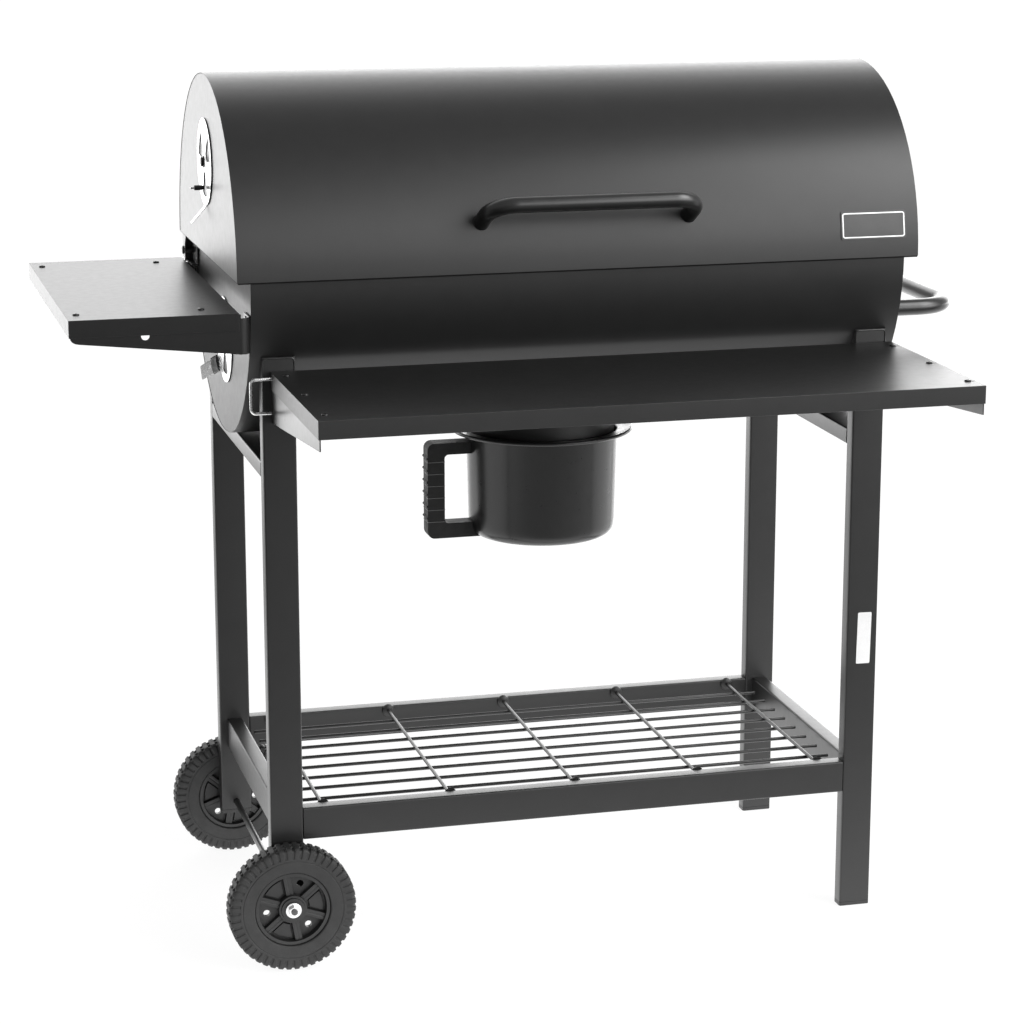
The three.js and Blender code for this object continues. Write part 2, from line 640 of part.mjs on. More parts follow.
/** Bracket under one end of the front shelf; its flanges turn inwards. */
function frontBracketBody(outerX, inwards) {
  const s = FRONT_SHELF;
  const top = s.top - SHELF_SHEET - GAP;
  const front = s.front + SHELF_SHEET + GAP;
  const rear = -STANCE_Y - GAP;
  const xRange = (from, to) => [outerX + inwards * from, outerX + inwards * to].sort((a, b) => a - b);
  const [webLow, webHigh] = xRange(0, BRACKET_SHEET);
  const [flangeLow, flangeHigh] = xRange(0, BRACKET_FLANGE);
  const web = prism(outline([
    [rear, FRONT_BRACKET_REAR_Z], [rear, top], [front, top], [front, FRONT_BRACKET_FRONT_Z],
  ]), 'x', webLow, webHigh);
  const upper = box([flangeLow, front, top - BRACKET_SHEET], [flangeHigh, s.rear - 1, top]);
  const back = box([flangeLow, rear - BRACKET_SHEET, FRONT_BRACKET_REAR_Z],
    [flangeHigh, rear, top - 8]);
  const lip = box([flangeLow, front, s.top - s.flange], [flangeHigh, front + BRACKET_SHEET, top]);
  return join(web, upper, back, lip);
}

function addHook() {
  const root = FRONT_SHELF.left - GAP;
  const corners = [
    [root, HOOK.y, HOOK.top], [HOOK.x, HOOK.y, HOOK.top],
    [HOOK.x, HOOK.y, HOOK.bottom], [root + SHELF_SHEET, HOOK.y, HOOK.bottom],
  ];
  place(shelves, 'utensil_hook', bentRod(corners, HOOK.bend, HOOK.radius, 8, 4), ZINC);
}

function addSideShelf() {
  const s = SIDE_SHELF;
  const body = box([s.left, -s.halfDepth, s.top - s.flange], [s.right, s.halfDepth, s.top]);
  const inside = box(
    [s.left + SHELF_SHEET, -s.halfDepth + SHELF_SHEET, s.top - s.flange - OVERSHOOT],
    [s.right + OVERSHOOT, s.halfDepth - SHELF_SHEET, s.top - SHELF_SHEET]);
  place(shelves, 'side_shelf', cut(body, inside), PAINT);
  const front = sideBracketBody();
  place(shelves, 'side_bracket_front', front, PAINT);
  place(shelves, 'side_bracket_rear', front.mirror([0, 1, 0]), PAINT);
}

/** Bracket at the front edge of the side shelf, fastened to the bowl's end. */
function sideBracketBody() {
  const s = SIDE_SHELF;
  const top = s.top - SHELF_SHEET - GAP;
  const outerY = -s.halfDepth + SHELF_SHEET + GAP;
  const outerX = s.left + SHELF_SHEET + GAP;
  const endX = -BOWL_END - GAP;
  const bendX = endX - SIDE_BEND;
  const bendY = outerY + SIDE_BEND;
  const webShape = new THREE.Shape();
  webShape.moveTo(outerX, top);
  webShape.lineTo(outerX, SIDE_BRACKET_OUTER_Z + 8);
  webShape.quadraticCurveTo(outerX, SIDE_BRACKET_OUTER_Z, outerX + 10, SIDE_BRACKET_OUTER_Z - 1);
  webShape.lineTo(bendX, SIDE_BRACKET_INNER_Z);
  webShape.lineTo(bendX, top);
  webShape.closePath();
  const web = prism(webShape, 'y', outerY, outerY + BRACKET_SHEET, 4);
  const upper = box([outerX, outerY, top - BRACKET_SHEET], [s.right - 1, outerY + BRACKET_FLANGE, top]);
  const turn = prism(
    ringSector([bendX, bendY], SIDE_BEND, SIDE_BEND - BRACKET_SHEET, -90, 0),
    'z', SIDE_BRACKET_INNER_Z, SIDE_MOUNT.top, SMALL_ROUND / 2);
  const mount = box([endX - BRACKET_SHEET, bendY, SIDE_BRACKET_INNER_Z],
    [endX, outerY + SIDE_MOUNT.depth, SIDE_MOUNT.top]);
  const eyelet = rod([EYELET.x, outerY - OVERSHOOT, EYELET.z],
    [EYELET.x, outerY + OVERSHOOT, EYELET.z], EYELET.radius, 16);
  return cut(join(web, upper, turn, mount), eyelet);
}

function addCarryHandle() {
  const h = CARRY_HANDLE;
  const root = BOWL_END_FACE + GAP;
  const corners = [
    [root, -h.halfSpan, h.z], [h.barX, -h.halfSpan, h.z],
    [h.barX, h.halfSpan, h.z], [root, h.halfSpan, h.z],
  ];
  place(shelves, 'carry_handle', bentRod(corners, h.bend, CARRY_RADIUS), GLOSS_TUBE);
}

// ---------------------------------------------------------------- lid

function addLid() {
  const below = barrelBlock(BARREL_Z - CUTTER_REACH, BARREL_Z);
  place(lid, 'lid_shell', cut(shellBody(LID_RADIUS, LID_END), below), PAINT);
  for (const [side, xSign] of SIDES) {
    const ports = xSign < 0 ? damperPorts(LID_DAMPER, LID_END_FACE, CLOSED_TURN) : [];
    const end = endBody(LID_RADIUS, LID_END_FACE, xSign);
    place(lid, `lid_end_${side}`, cut(end, below, ...ports), PAINT);
  }
  addLidHandle();
  const badgeInner = LID_RADIUS + GAP;
  const badge = ringSector([0, BARREL_Z], badgeInner + BADGE.thickness, badgeInner,
    180 - BADGE.high, 180 - BADGE.low);
  place(lid, 'lid_badge', prism(badge, 'x', BADGE.left, BADGE.right, 2), BADGE_PLATE);
}

function addLidHandle() {
  const h = LID_HANDLE;
  const out = new THREE.Vector2(h.barY - h.footY, h.barZ - h.footZ).normalize();
  const [buriedY, buriedZ] = [h.footY - h.buried * out.x, h.footZ - h.buried * out.y];
  const corners = [
    [-h.halfSpan, buriedY, buriedZ], [-h.halfSpan, h.barY, h.barZ],
    [h.halfSpan, h.barY, h.barZ], [h.halfSpan, buriedY, buriedZ],
  ];
  const bar = bentRod(corners, h.bend, HANDLE_RADIUS, 12);
  place(lid, 'lid_handle', cut(bar, barrelCutter(LID_RADIUS + GAP)), GLOSS_TUBE);
}

// ---------------------------------------------------------------- lid hinges

/** Running hole for a hinge pin, through a bowl end, its bracket and the lid's strap. */
function pinHole(xSign) {
  return rod([xSign * (BOWL_END_FACE - END_SKIRT), HINGE_Y, HINGE_Z],
    [xSign * CUTTER_REACH, HINGE_Y, HINGE_Z], PIN_RADIUS + RUNNING_FIT, 16);
}

function addHinges() {
  const capInside = LID_END_FACE - SHEET - GAP;
  for (const [side, xSign] of SIDES) {
    const span = (from, to) => [xSign * from, xSign * to].sort((a, b) => a - b);
    const face = BOWL_END + GAP;
    const plate = HINGE_PLATE;
    const slab = (depth, front, top) => {
      const [low, high] = span(face, face + depth);
      return box([low, HINGE_Y + front, plate.bottom], [high, HINGE_Y + plate.rear, top]);
    };
    const bracket = join(
      slab(plate.sheet, -plate.front, plate.top),
      slab(plate.foot, -plate.front, plate.bottom + plate.sheet),
      slab(plate.leaf, plate.rear - plate.sheet, plate.top));
    place(bowl, `hinge_bracket_${side}`, cut(bracket, pinHole(xSign)), PAINT);

    const [strapLow, strapHigh] = span(capInside - plate.sheet, capInside);
    const t = STRAP;
    const strap = outline([
      [HINGE_Y - t.half, HINGE_Z - t.half], [HINGE_Y + t.half, HINGE_Z - t.half],
      [HINGE_Y + t.half, HINGE_Z + t.front - t.half], [HINGE_Y - t.half, t.top],
      [HINGE_Y - t.front, t.top], [HINGE_Y - t.front, t.shoulder],
      [HINGE_Y - t.half, HINGE_Z + t.half],
    ]);
    const strapBody = cut(prism(strap, 'x', strapLow, strapHigh), pinHole(xSign));
    place(lid, `hinge_strap_${side}`, strapBody, PAINT);
    place(bowl, `hinge_pin_${side}`, hingePinBody(xSign, capInside), PAINT);
  }
}

/** A pin with a hexagonal head over the strap and one inside the bowl's end. */
function hingePinBody(xSign, strapFace) {
  const along = (from, to, radius, sides) => rod(
    [xSign * from, HINGE_Y, HINGE_Z], [xSign * to, HINGE_Y, HINGE_Z], radius, sides);
  const innerFace = BOWL_END_FACE - SHEET - GAP;
  return join(
    along(innerFace - OVERSHOOT, LID_END + 1, PIN_RADIUS),
    along(strapFace + GAP, LID_END + 2, PIN_HEAD_RADIUS, 6),
    along(innerFace - OVERSHOOT - 1, innerFace - GAP, PIN_HEAD_RADIUS, 6));
}

// ---------------------------------------------------------------- dampers

/** Three air ports and the bolt hole through a left end, as cutters; turn is in degrees. */
function damperPorts({ y, z }, endFace, turn) {
  const { inner, outer, halfAngle, middles } = DAMPER_PORT;
  const [from, to] = [-CUTTER_REACH, -endFace + PORT_DEPTH];
  const ports = middles.map((degrees) => {
    const middle = degrees + turn;
    const sector = ringSector([y, z], outer, inner, middle - halfAngle, middle + halfAngle);
    return prism(sector, 'x', from, to);
  });
  ports.push(rod([from, y, z], [to, y, z], DAMPER_BOLT.radius + RUNNING_FIT));
  return ports;
}

/** Turning disc on a left end, closed at rest: its ports lie between those of the end. */
function addDamper(group, name, damper, endFace) {
  const { y, z } = damper;
  const inner = -endFace - GAP;
  const outer = inner - DAMPER_SHEET;
  const disc = rod([outer, y, z], [inner, y, z], DAMPER_RADIUS, ROUND);
  const ports = damperPorts(damper, endFace, 0);
  const tongue = tongueBody(damper.tongue).translate([inner, y, z]);
  place(group, `${name}_damper`, cut(join(disc, tongue), ...ports), ZINC);

  const knobZ = z + damper.knobRise;
  const knobStart = outer - GAP;
  const knob = rod([knobStart - KNOB.length, y, knobZ], [knobStart, y, knobZ], KNOB.radius);
  place(group, `${name}_damper_knob`, knob, PLASTIC);

  const b = DAMPER_BOLT;
  const insideEnd = -endFace + SHEET + GAP;
  const bolt = join(
    rod([insideEnd + b.nut - 1, y, z], [outer - GAP - 1, y, z], b.radius),
    rod([outer - GAP - b.nut, y, z], [outer - GAP, y, z], b.nutRadius, 6),
    rod([insideEnd, y, z], [insideEnd + b.nut, y, z], b.nutRadius, 6));
  place(group, `${name}_damper_bolt`, bolt, PLASTIC);
}

/** A damper's handle: a strip along its disc, bent outwards at the disc's edge. */
function tongueBody({ turn, lean, length, width }) {
  const flat = box([-DAMPER_SHEET, DAMPER_PORT.outer, -width / 2], [0, TONGUE_ROOT, width / 2]);
  const straight = length - width / 2;
  const leaning = join(
    box([-DAMPER_SHEET, 0, -width / 2], [0, straight, width / 2]),
    rod([-DAMPER_SHEET, straight, 0], [0, straight, 0], width / 2, 16),
  ).rotate([0, 0, lean]).translate([0, TONGUE_ROOT, 0]);
  return join(flat, leaning).rotate([turn, 0, 0]);
}

// ---------------------------------------------------------------- build

addLegs();
addRails();
addBottomRack();
addAxle();
addWheels();
addBowl();
addAshCollar();
addLedges();
addGrates();
addAshCup();
addFrontShelf();
addHook();
addSideShelf();
addCarryHandle();
addLid();
addHinges();
addDamper(lid, 'lid', LID_DAMPER, LID_END_FACE);
addDamper(bowl, 'bowl', BOWL_DAMPER, BOWL_END_FACE);

const bounds = new THREE.Box3().setFromObject(grill);
const middle = bounds.getCenter(new THREE.Vector3());
grill.position.set(-middle.x, -middle.y, 0);

export default grill;
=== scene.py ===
import json
import math

import bmesh
import bpy
from mathutils import Matrix, Vector


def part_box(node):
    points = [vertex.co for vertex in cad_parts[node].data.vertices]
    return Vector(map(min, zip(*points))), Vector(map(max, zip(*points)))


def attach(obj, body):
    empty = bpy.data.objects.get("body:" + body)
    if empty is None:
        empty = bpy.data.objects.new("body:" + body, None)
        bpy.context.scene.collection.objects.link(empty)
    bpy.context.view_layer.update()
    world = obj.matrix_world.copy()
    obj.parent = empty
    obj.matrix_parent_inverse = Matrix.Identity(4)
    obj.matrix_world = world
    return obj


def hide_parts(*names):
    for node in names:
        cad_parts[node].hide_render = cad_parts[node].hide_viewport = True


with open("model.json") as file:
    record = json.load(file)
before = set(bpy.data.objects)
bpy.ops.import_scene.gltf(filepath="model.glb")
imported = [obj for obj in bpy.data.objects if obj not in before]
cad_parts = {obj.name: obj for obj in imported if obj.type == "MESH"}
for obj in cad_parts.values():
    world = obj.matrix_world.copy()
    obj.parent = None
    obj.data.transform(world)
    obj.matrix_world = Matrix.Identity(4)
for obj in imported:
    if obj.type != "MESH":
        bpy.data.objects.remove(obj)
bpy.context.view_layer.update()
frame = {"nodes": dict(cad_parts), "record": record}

NODES = frame["nodes"]

# ---- driving dimensions, metres

MM = 0.001
TAU = 2 * math.pi
AXIS_X, AXIS_Y, AXIS_Z = (Vector(axis) for axis in ((1, 0, 0), (0, 1, 0), (0, 0, 1)))

HANDLE_RADIUS = 9.5 * MM
HANDLE_BEND = 32 * MM
HANDLE_SLOPE = Vector((0, 45, -25)).normalized()  # from the lid handle's bar to its feet
CARRY_RADIUS = 10 * MM
CARRY_BEND = 50 * MM
HOOK_RADIUS = 2.1 * MM
HOOK_BEND = 6 * MM
WIRE_RADIUS = 2.2 * MM
RIM_RADIUS = 0.9 * MM  # of the line round a leg's top
RIM_DROP = 34 * MM
RIM_BEND = 4 * MM
LONG_WIRES = 8
LONG_SPAN = 280 * MM  # first to last long wire
CROSS_WIRES = 5
CROSS_SPAN = 634 * MM  # first to last cross wire
CUP_SHEET = 1.3 * MM
BRIM_RISE = 3.5  # of the cup's rolled brim, mm
BRIM_BEAD = 2.3  # radius of the roll, mm
GRIP_CORNER = 9 * MM
GRIP_WINDOW_BOW = 5 * MM  # rounding of the grip's finger window
GRIP_BAR = 23.5 * MM  # width of its upright, and of its arms
GRIP_TOP_ARM = 15 * MM
GRIP_LOW_ARM = 19 * MM
GRIP_NUB = 1.6 * MM
GRIP_NUB_RISE = 5 * MM  # of a nub over its rib
GRIP_RIB_PROUD = 0.3 * MM
GRIP_RIB_HALF = 0.4 * MM
GRIP_RIBS = 6
GRIP_RIB_PITCH = 15.3 * MM
GRIP_RIB_DROP = 24 * MM  # from the grip's top to its first rib
TONGUE_ROOT = 53  # where a damper's tongue bends out, mm
DAMPER_SHEET = 1.0 * MM
DAMPER_STEPS = 120  # round a damper's disc
DAMPER_ROWS = (3.4, 10.5, 12.0, 13.0, 42.0, 43.0, 48.5, 50.5, 52.0)  # radii, mm
DAMPER_LIFT = {3.4: 1.0, 10.5: 1.0, 50.5: 0.5, 52.0: 0.5}  # of boss and rim, mm
PORT_ROWS = (13.0, 42.0)  # inner and outer radius of a port, mm
PORT_HALF = 24  # half a port's width, degrees
DAMPER_PORTS = (-90, 30, 150)  # middles of the air ports, degrees
TREAD_LUGS = 48
LUG_STEPS = ((0.0, 1), (0.10, 0), (0.37, 0), (0.64, 0), (0.74, 1), (0.87, 1))  # (share, groove)
SPOKES = 6


def middle(node):
    """The middle of a CAD node's box."""
    low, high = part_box(node)
    return (low + high) / 2


def stance_middle():
    """The point on the floor in the middle of the four legs."""
    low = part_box("leg_front_left")[0]
    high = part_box("leg_rear_right")[1]
    return Vector(((low.x + high.x) / 2, (low.y + high.y) / 2, 0))


STANCE = stance_middle()


# ---- materials

class Nodes:
    """Short names for making one node tree."""

    def __init__(self, tree):
        self.tree = tree
        self.links = tree.links

    def add(self, kind, inputs=(), **settings):
        node = self.tree.nodes.new(kind)
        for key, value in settings.items():
            setattr(node, key, value)
        for key, value in dict(inputs).items():
            if isinstance(value, bpy.types.NodeSocket):
                self.links.new(value, node.inputs[key])
            else:
                node.inputs[key].default_value = value
        return node

    def noise(self, vector, scale, detail, roughness):
        node = self.add("ShaderNodeTexNoise", {
            "Vector": vector, "Scale": scale, "Detail": detail, "Roughness": roughness})
        return node.outputs["Fac"]

    def spread(self, value, low, high, from_low=0.0, from_high=1.0):
        node = self.add("ShaderNodeMapRange", {
            "Value": value, "From Min": from_low, "From Max": from_high,
            "To Min": low, "To Max": high})
        return node.outputs["Result"]

    def math(self, operation, a, b=0.0):
        node = self.add("ShaderNodeMath", {0: a, 1: b}, operation=operation)
        return node.outputs[0]

    def mix(self, factor, a, b):
        """Colour a at factor 0 and colour b at 1."""
        a, b = (value if isinstance(value, bpy.types.NodeSocket) else (*value, 1.0)
                for value in (a, b))
        node = self.add("ShaderNodeMix", {0: factor, 6: a, 7: b}, data_type="RGBA")
        return node.outputs[2]

    def ease(self, value, start, end, strength):
        """0 before start, strength after end, and a smooth rise between them."""
        node = self.add("ShaderNodeMapRange", {
            "Value": value, "From Min": start, "From Max": end,
            "To Min": 0.0, "To Max": strength}, interpolation_type="SMOOTHSTEP")
        return node.outputs["Result"]

    def bump(self, height, distance, normal=None):
        inputs = {"Height": height, "Distance": distance, "Strength": 1.0}
        if normal is not None:
            inputs["Normal"] = normal
        return self.add("ShaderNodeBump", inputs).outputs["Normal"]


def emptied(owner):
    """The node tree of a material or of the world, with nothing in it yet."""
    owner.use_nodes = True
    owner.node_tree.nodes.clear()
    return Nodes(owner.node_tree)


def grey(value):
    return (value, value, value)


def surface(name, shades, roughness, grain, metallic=0.0, specular=0.5, mottle=35.0,
            wear=0.0, coat=0.0, stretch=(1, 1, 1)):
    """A solid finish: mottled grey, uneven roughness, grain in relief and paler worn edges.
    shades and roughness are ranges, and grain a list of (scale per metre, height in mm)."""
    made = bpy.data.materials.new(name)
    n = emptied(made)
    place = n.add("ShaderNodeTexCoord").outputs["Object"]
    place = n.add("ShaderNodeMapping", {"Vector": place, "Scale": stretch}).outputs["Vector"]
    broad = n.noise(place, mottle, 4.0, 0.6)
    fine = n.noise(place, mottle * 14, 3.0, 0.6)
    blend = n.math("ADD", n.math("MULTIPLY", broad, 0.6), n.math("MULTIPLY", fine, 0.4))
    blend = n.spread(blend, 0.0, 1.0, 0.35, 0.65)
    colour = n.mix(blend, grey(shades[0]), grey(shades[1]))
    if wear:
        colour = n.mix(n.math("MULTIPLY", edge_mask(n, place), wear), colour, grey(0.35))
    shine = n.spread(n.noise(place, mottle * 3, 5.0, 0.65), roughness[0], roughness[1], 0.3, 0.7)
    normal = None
    for scale, height in grain:
        normal = n.bump(n.noise(place, scale, 2.0, 0.55), height * MM, normal)
    inputs = {"Base Color": colour, "Roughness": shine, "Metallic": metallic,
              "Specular IOR Level": specular, "Coat Weight": coat, "Coat Roughness": 0.12}
    if normal is not None:
        inputs["Normal"] = normal
    shader = n.add("ShaderNodeBsdfPrincipled", inputs)
    n.add("ShaderNodeOutputMaterial", {"Surface": shader.outputs["BSDF"]})
    return made


def edge_mask(n, place):
    """1 on the outer corners of a piece, where handling rubs the finish, and 0 on its flats."""
    rounded = n.add("ShaderNodeBevel", {"Radius": 0.9 * MM}, samples=4).outputs["Normal"]
    flat = n.add("ShaderNodeNewGeometry").outputs["Normal"]
    turned = n.add("ShaderNodeVectorMath", {0: rounded, 1: flat}, operation="DOT_PRODUCT")
    edge = n.spread(turned.outputs["Value"], 1.0, 0.0, 0.82, 0.98)
    patchy = n.spread(n.noise(place, 60.0, 4.0, 0.7), 0.0, 1.0, 0.42, 0.62)
    return n.math("MULTIPLY", edge, patchy)


PAINT = surface("satin_paint", (0.0060, 0.0085), (0.365, 0.40),
                ((1500, 0.008), (420, 0.006)), wear=0.08)
# Painted shade: a darker, less shiny copy of the satin paint, for the side shelf and its
# brackets.
SHELF_PAINT_WITH_PAINTED_SHADE = surface("side_shelf_paint_painted_shade", (0.0035, 0.0055), (0.36, 0.395),
                      ((1500, 0.006), (420, 0.005)), specular=0.34, wear=0.08)
# Painted shade: a darker, rougher, less shiny copy of the satin paint, for the bowl's ends under
# the lid's overhang and the side shelf.
END_PAINT_WITH_PAINTED_SHADE = surface("bowl_end_paint_painted_shade", (0.0050, 0.0075), (0.44, 0.48),
                    ((1500, 0.006), (420, 0.005)), specular=0.36, wear=0.05)
GLOSS = surface("gloss_black_tube", (0.009, 0.014), (0.28, 0.36), ((380, 0.012),), coat=0.12)
ZINC = surface("bright_zinc", (0.60, 0.78), (0.20, 0.36), ((900, 0.02),), metallic=1.0, mottle=90)
ENAMEL = surface("black_enamel", (0.0055, 0.0080), (0.27, 0.33),
                 ((500, 0.012), (2200, 0.004)), coat=0.1)
PLASTIC = surface("moulded_plastic", (0.008, 0.014), (0.42, 0.55), ((1800, 0.02),), specular=0.45)
GRIP = surface("grip_plastic", (0.006, 0.012), (0.60, 0.75),
               ((1500, 0.06), (500, 0.04)), specular=0.25)
TYRE = surface("tyre_rubber", (0.012, 0.021), (0.55, 0.72),
               ((1300, 0.04), (300, 0.05)), specular=0.4)
CAST_IRON = surface("seasoned_cast_iron", (0.022, 0.045), (0.50, 0.68),
                    ((700, 0.25), (2200, 0.08)), metallic=0.3, wear=0.25)
STEEL = surface("dull_steel", (0.30, 0.44), (0.38, 0.52),
                ((1600, 0.03),), metallic=1.0, stretch=(0.12, 1, 1))
BADGE = surface("badge_plate", (0.020, 0.026), (0.30, 0.38), ((1200, 0.02),))
BADGE_LINE = surface("badge_border", (0.86, 0.93), (0.30, 0.42), ((1500, 0.01),))
LABEL = surface("blank_label", (0.62, 0.72), (0.45, 0.6), ((2500, 0.01),))
SCREW = surface("blackened_screw", (0.020, 0.035), (0.30, 0.42), ((1500, 0.02),), metallic=0.6)
RIB = surface("grip_rib", (0.075, 0.11), (0.45, 0.55), ((1500, 0.01),), specular=0.4)
# Painted light: a paler, glossier copy of the satin paint, which lightens the front shelf's
# brackets.
BRACKET_PAINT_WITH_PAINTED_LIGHT = surface("bracket_paint_painted_light", (0.008, 0.011), (0.28, 0.31),
                        ((1500, 0.005),), specular=0.75, wear=0.05)
# Painted shade: near-black and nearly matt, for the strips under the lid's edges that stand for
# the shadow gap between lid and bowl.
SHADE = surface("painted_shade_edge", (0.002, 0.004), (0.6, 0.7), ((900, 0.02),), specular=0.1)
DARK_STEEL = surface("oiled_steel", (0.06, 0.11), (0.30, 0.42),
                     ((1500, 0.01),), metallic=0.9, stretch=(1, 0.1, 1))

SLOT_MATERIALS = {
    "paint": PAINT, "gloss_tube": GLOSS, "zinc": ZINC, "enamel": ENAMEL, "plastic": PLASTIC,
    "tyre": TYRE, "cast_iron": CAST_IRON, "bare_steel": STEEL, "badge": BADGE,
}
# Finishes for single nodes: dark steel for the axle, and copies of the satin paint with painted
# shade or painted light on the side shelf, the brackets and the bowl's ends.
NODE_MATERIALS = {
    "axle": DARK_STEEL, "side_shelf": SHELF_PAINT_WITH_PAINTED_SHADE, "side_bracket_front": SHELF_PAINT_WITH_PAINTED_SHADE,
    "side_bracket_rear": SHELF_PAINT_WITH_PAINTED_SHADE, "bowl_end_left": END_PAINT_WITH_PAINTED_SHADE, "bowl_end_right": END_PAINT_WITH_PAINTED_SHADE,
    "front_bracket_left": BRACKET_PAINT_WITH_PAINTED_LIGHT, "front_bracket_right": BRACKET_PAINT_WITH_PAINTED_LIGHT,
}


# ---- mesh making

def mesh_of(name, points, faces, merge=0.0):
    """A mesh with its faces turned outwards; points closer than merge become one."""
    mesh = bpy.data.meshes.new(name)
    mesh.from_pydata([tuple(point) for point in points], [], faces)
    mesh.validate()
    work = bmesh.new()
    work.from_mesh(mesh)
    if merge:
        bmesh.ops.remove_doubles(work, verts=work.verts, dist=merge)
    bmesh.ops.recalc_face_normals(work, faces=work.faces)
    work.to_mesh(mesh)
    work.free()
    return mesh


def placed(name, data):
    """A new object in the scene."""
    made = bpy.data.objects.new(name, data)
    bpy.context.scene.collection.objects.link(made)
    return made


def piece(name, mesh, material, body, smooth=60, bevel=0.0, segments=2, replaces=""):
    """A visible piece that moves with a CAD body. replaces names the node it stands for."""
    made = placed(name, mesh)
    if not mesh.materials:
        mesh.materials.append(material)
    mesh.shade_smooth()
    if bevel:
        add_bevel(made, bevel, segments)
    else:
        mesh.set_sharp_from_angle(angle=math.radians(smooth))
    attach(made, body)
    if replaces:
        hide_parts(replaces)
    return made


def add_bevel(made, width, segments=2):
    bevel = made.modifiers.new("soft_edges", "BEVEL")
    bevel.width = width
    bevel.segments = segments
    bevel.limit_method = "ANGLE"
    bevel.angle_limit = math.radians(30)
    bevel.use_clamp_overlap = True
    weighted = made.modifiers.new("weighted_normals", "WEIGHTED_NORMAL")
    weighted.keep_sharp = True


def stitched(rings, closed_path=False, closed_ring=True):
    """Points and faces of a skin over rings that all have the same number of points."""
    count = len(rings[0])
    points = [point for ring in rings for point in ring]
    faces = []
    last = len(rings) if closed_path else len(rings) - 1
    for i in range(last):
        a, b = i * count, (i + 1) % len(rings) * count
        for j in range(count if closed_ring else count - 1):
            k = (j + 1) % count
            faces.append((a + j, a + k, b + k, b + j))
    if not closed_path:
        faces.append(tuple(range(count))[::-1])
        faces.append(tuple(range(len(points) - count, len(points))))
    return points, faces


def lathe(name, profile, centre, axis, steps):
    """A turned piece. The profile is a list of (radius, distance along axis) in mm: either a
    ring's closed section, or a line that starts and ends on the axis."""
    section = [(radius * MM, along * MM) for radius, along in profile]
    side = axis.orthogonal().normalized()
    across = axis.cross(side)
    rings = []
    for i in range(steps):
        turn = TAU * i / steps
        out = side * math.cos(turn) + across * math.sin(turn)
        rings.append([centre + out * radius + axis * along for radius, along in section])
    skin = stitched(rings, closed_path=True, closed_ring=profile[0][0] > 0)
    return mesh_of(name, *skin, merge=0.002 * MM)


def bent_path(corners, bend, steps):
    """Points along straight legs whose corners are rounded to a radius."""
    points = [corners[0]]
    for before, corner, after in zip(corners, corners[1:], corners[2:]):
        into = (corner - before).normalized()
        out = (after - corner).normalized()
        turn = into.angle(out)
        start = corner - into * bend * math.tan(turn / 2)
        hub = start + (out - into * into.dot(out)).normalized() * bend
        turn_axis = into.cross(out).normalized()
        for step in range(steps + 1):
            spin = Matrix.Rotation(turn * step / steps, 3, turn_axis)
            points.append(hub + spin @ (start - hub))
    points.append(corners[-1])
    return points


def circle(centre, side, across, radius, steps):
    """Points round a circle, from side towards across."""
    turns = [TAU * k / steps for k in range(steps)]
    return [centre + (side * math.cos(turn) + across * math.sin(turn)) * radius
            for turn in turns]


def tube(name, path, radius, sides, dome=0.0):
    """A round bar along a path."""
    side = (path[1] - path[0]).orthogonal().normalized()
    rings = []
    for i, point in enumerate(path):
        ahead = path[min(i + 1, len(path) - 1)]
        behind = path[max(i - 1, 0)]
        heading = (ahead - behind).normalized()
        side = (side - heading * side.dot(heading)).normalized()
        rings.append(circle(point, side, heading.cross(side), radius, sides))
    if dome:
        rings = rounded_ends(rings, path, dome)
    return mesh_of(name, *stitched(rings))


def rounded_ends(rings, path, dome, steps=3):
    """The rings of a bar with its two ends rounded over."""
    ended = []
    for ring, tip, inner in ((rings[0], path[0], path[1]), (rings[-1], path[-1], path[-2])):
        out = (tip - inner).normalized()
        radius = (ring[0] - tip).length
        extra = []
        for step in range(1, steps + 1):
            angle = math.pi / 2 * step / (steps + 0.4)
            lift = out * dome * (math.sin(angle) - 1)
            size = 1 - (1 - math.cos(angle)) * dome / radius
            extra.append([tip + (point - tip) * size + lift for point in ring])
        ended.append(extra)
    start_in = path[0] + (path[1] - path[0]).normalized() * dome
    end_in = path[-1] + (path[-2] - path[-1]).normalized() * dome
    first = [point + (start_in - path[0]) for point in rings[0]]
    last = [point + (end_in - path[-1]) for point in rings[-1]]
    return ended[0][::-1] + [first] + rings[1:-1] + [last] + ended[1]


def plate(name, outline, axis, start, depth):
    """A flat outline of 3-D points, pulled along an axis."""
    near = [point + axis * start for point in outline]
    far = [point + axis * (start + depth) for point in outline]
    return mesh_of(name, *stitched([near, far]))


def joined(name, meshes):
    """One mesh from several."""
    work = bmesh.new()
    for mesh in meshes:
        work.from_mesh(mesh)
        bpy.data.meshes.remove(mesh)
    whole = bpy.data.meshes.new(name)
    work.to_mesh(whole)
    work.free()
    return whole


def carved(mesh, *cutters):
    """The mesh with the closed cutter meshes taken out of it."""
    for cutter in cutters:
        body, tool = placed("carved_body", mesh), placed("carving_tool", cutter)
        cut = body.modifiers.new("cut", "BOOLEAN")
        cut.object = tool
        cut.operation = "DIFFERENCE"
        cut.solver = "EXACT"
        bpy.context.view_layer.update()
        graph = bpy.context.evaluated_depsgraph_get()
        rest = bpy.data.meshes.new_from_object(body.evaluated_get(graph))
        for made in (body, tool):
            bpy.data.objects.remove(made)
        bpy.data.meshes.remove(mesh)
        bpy.data.meshes.remove(cutter)
        mesh = rest
    return mesh


# ---- CAD nodes that stay

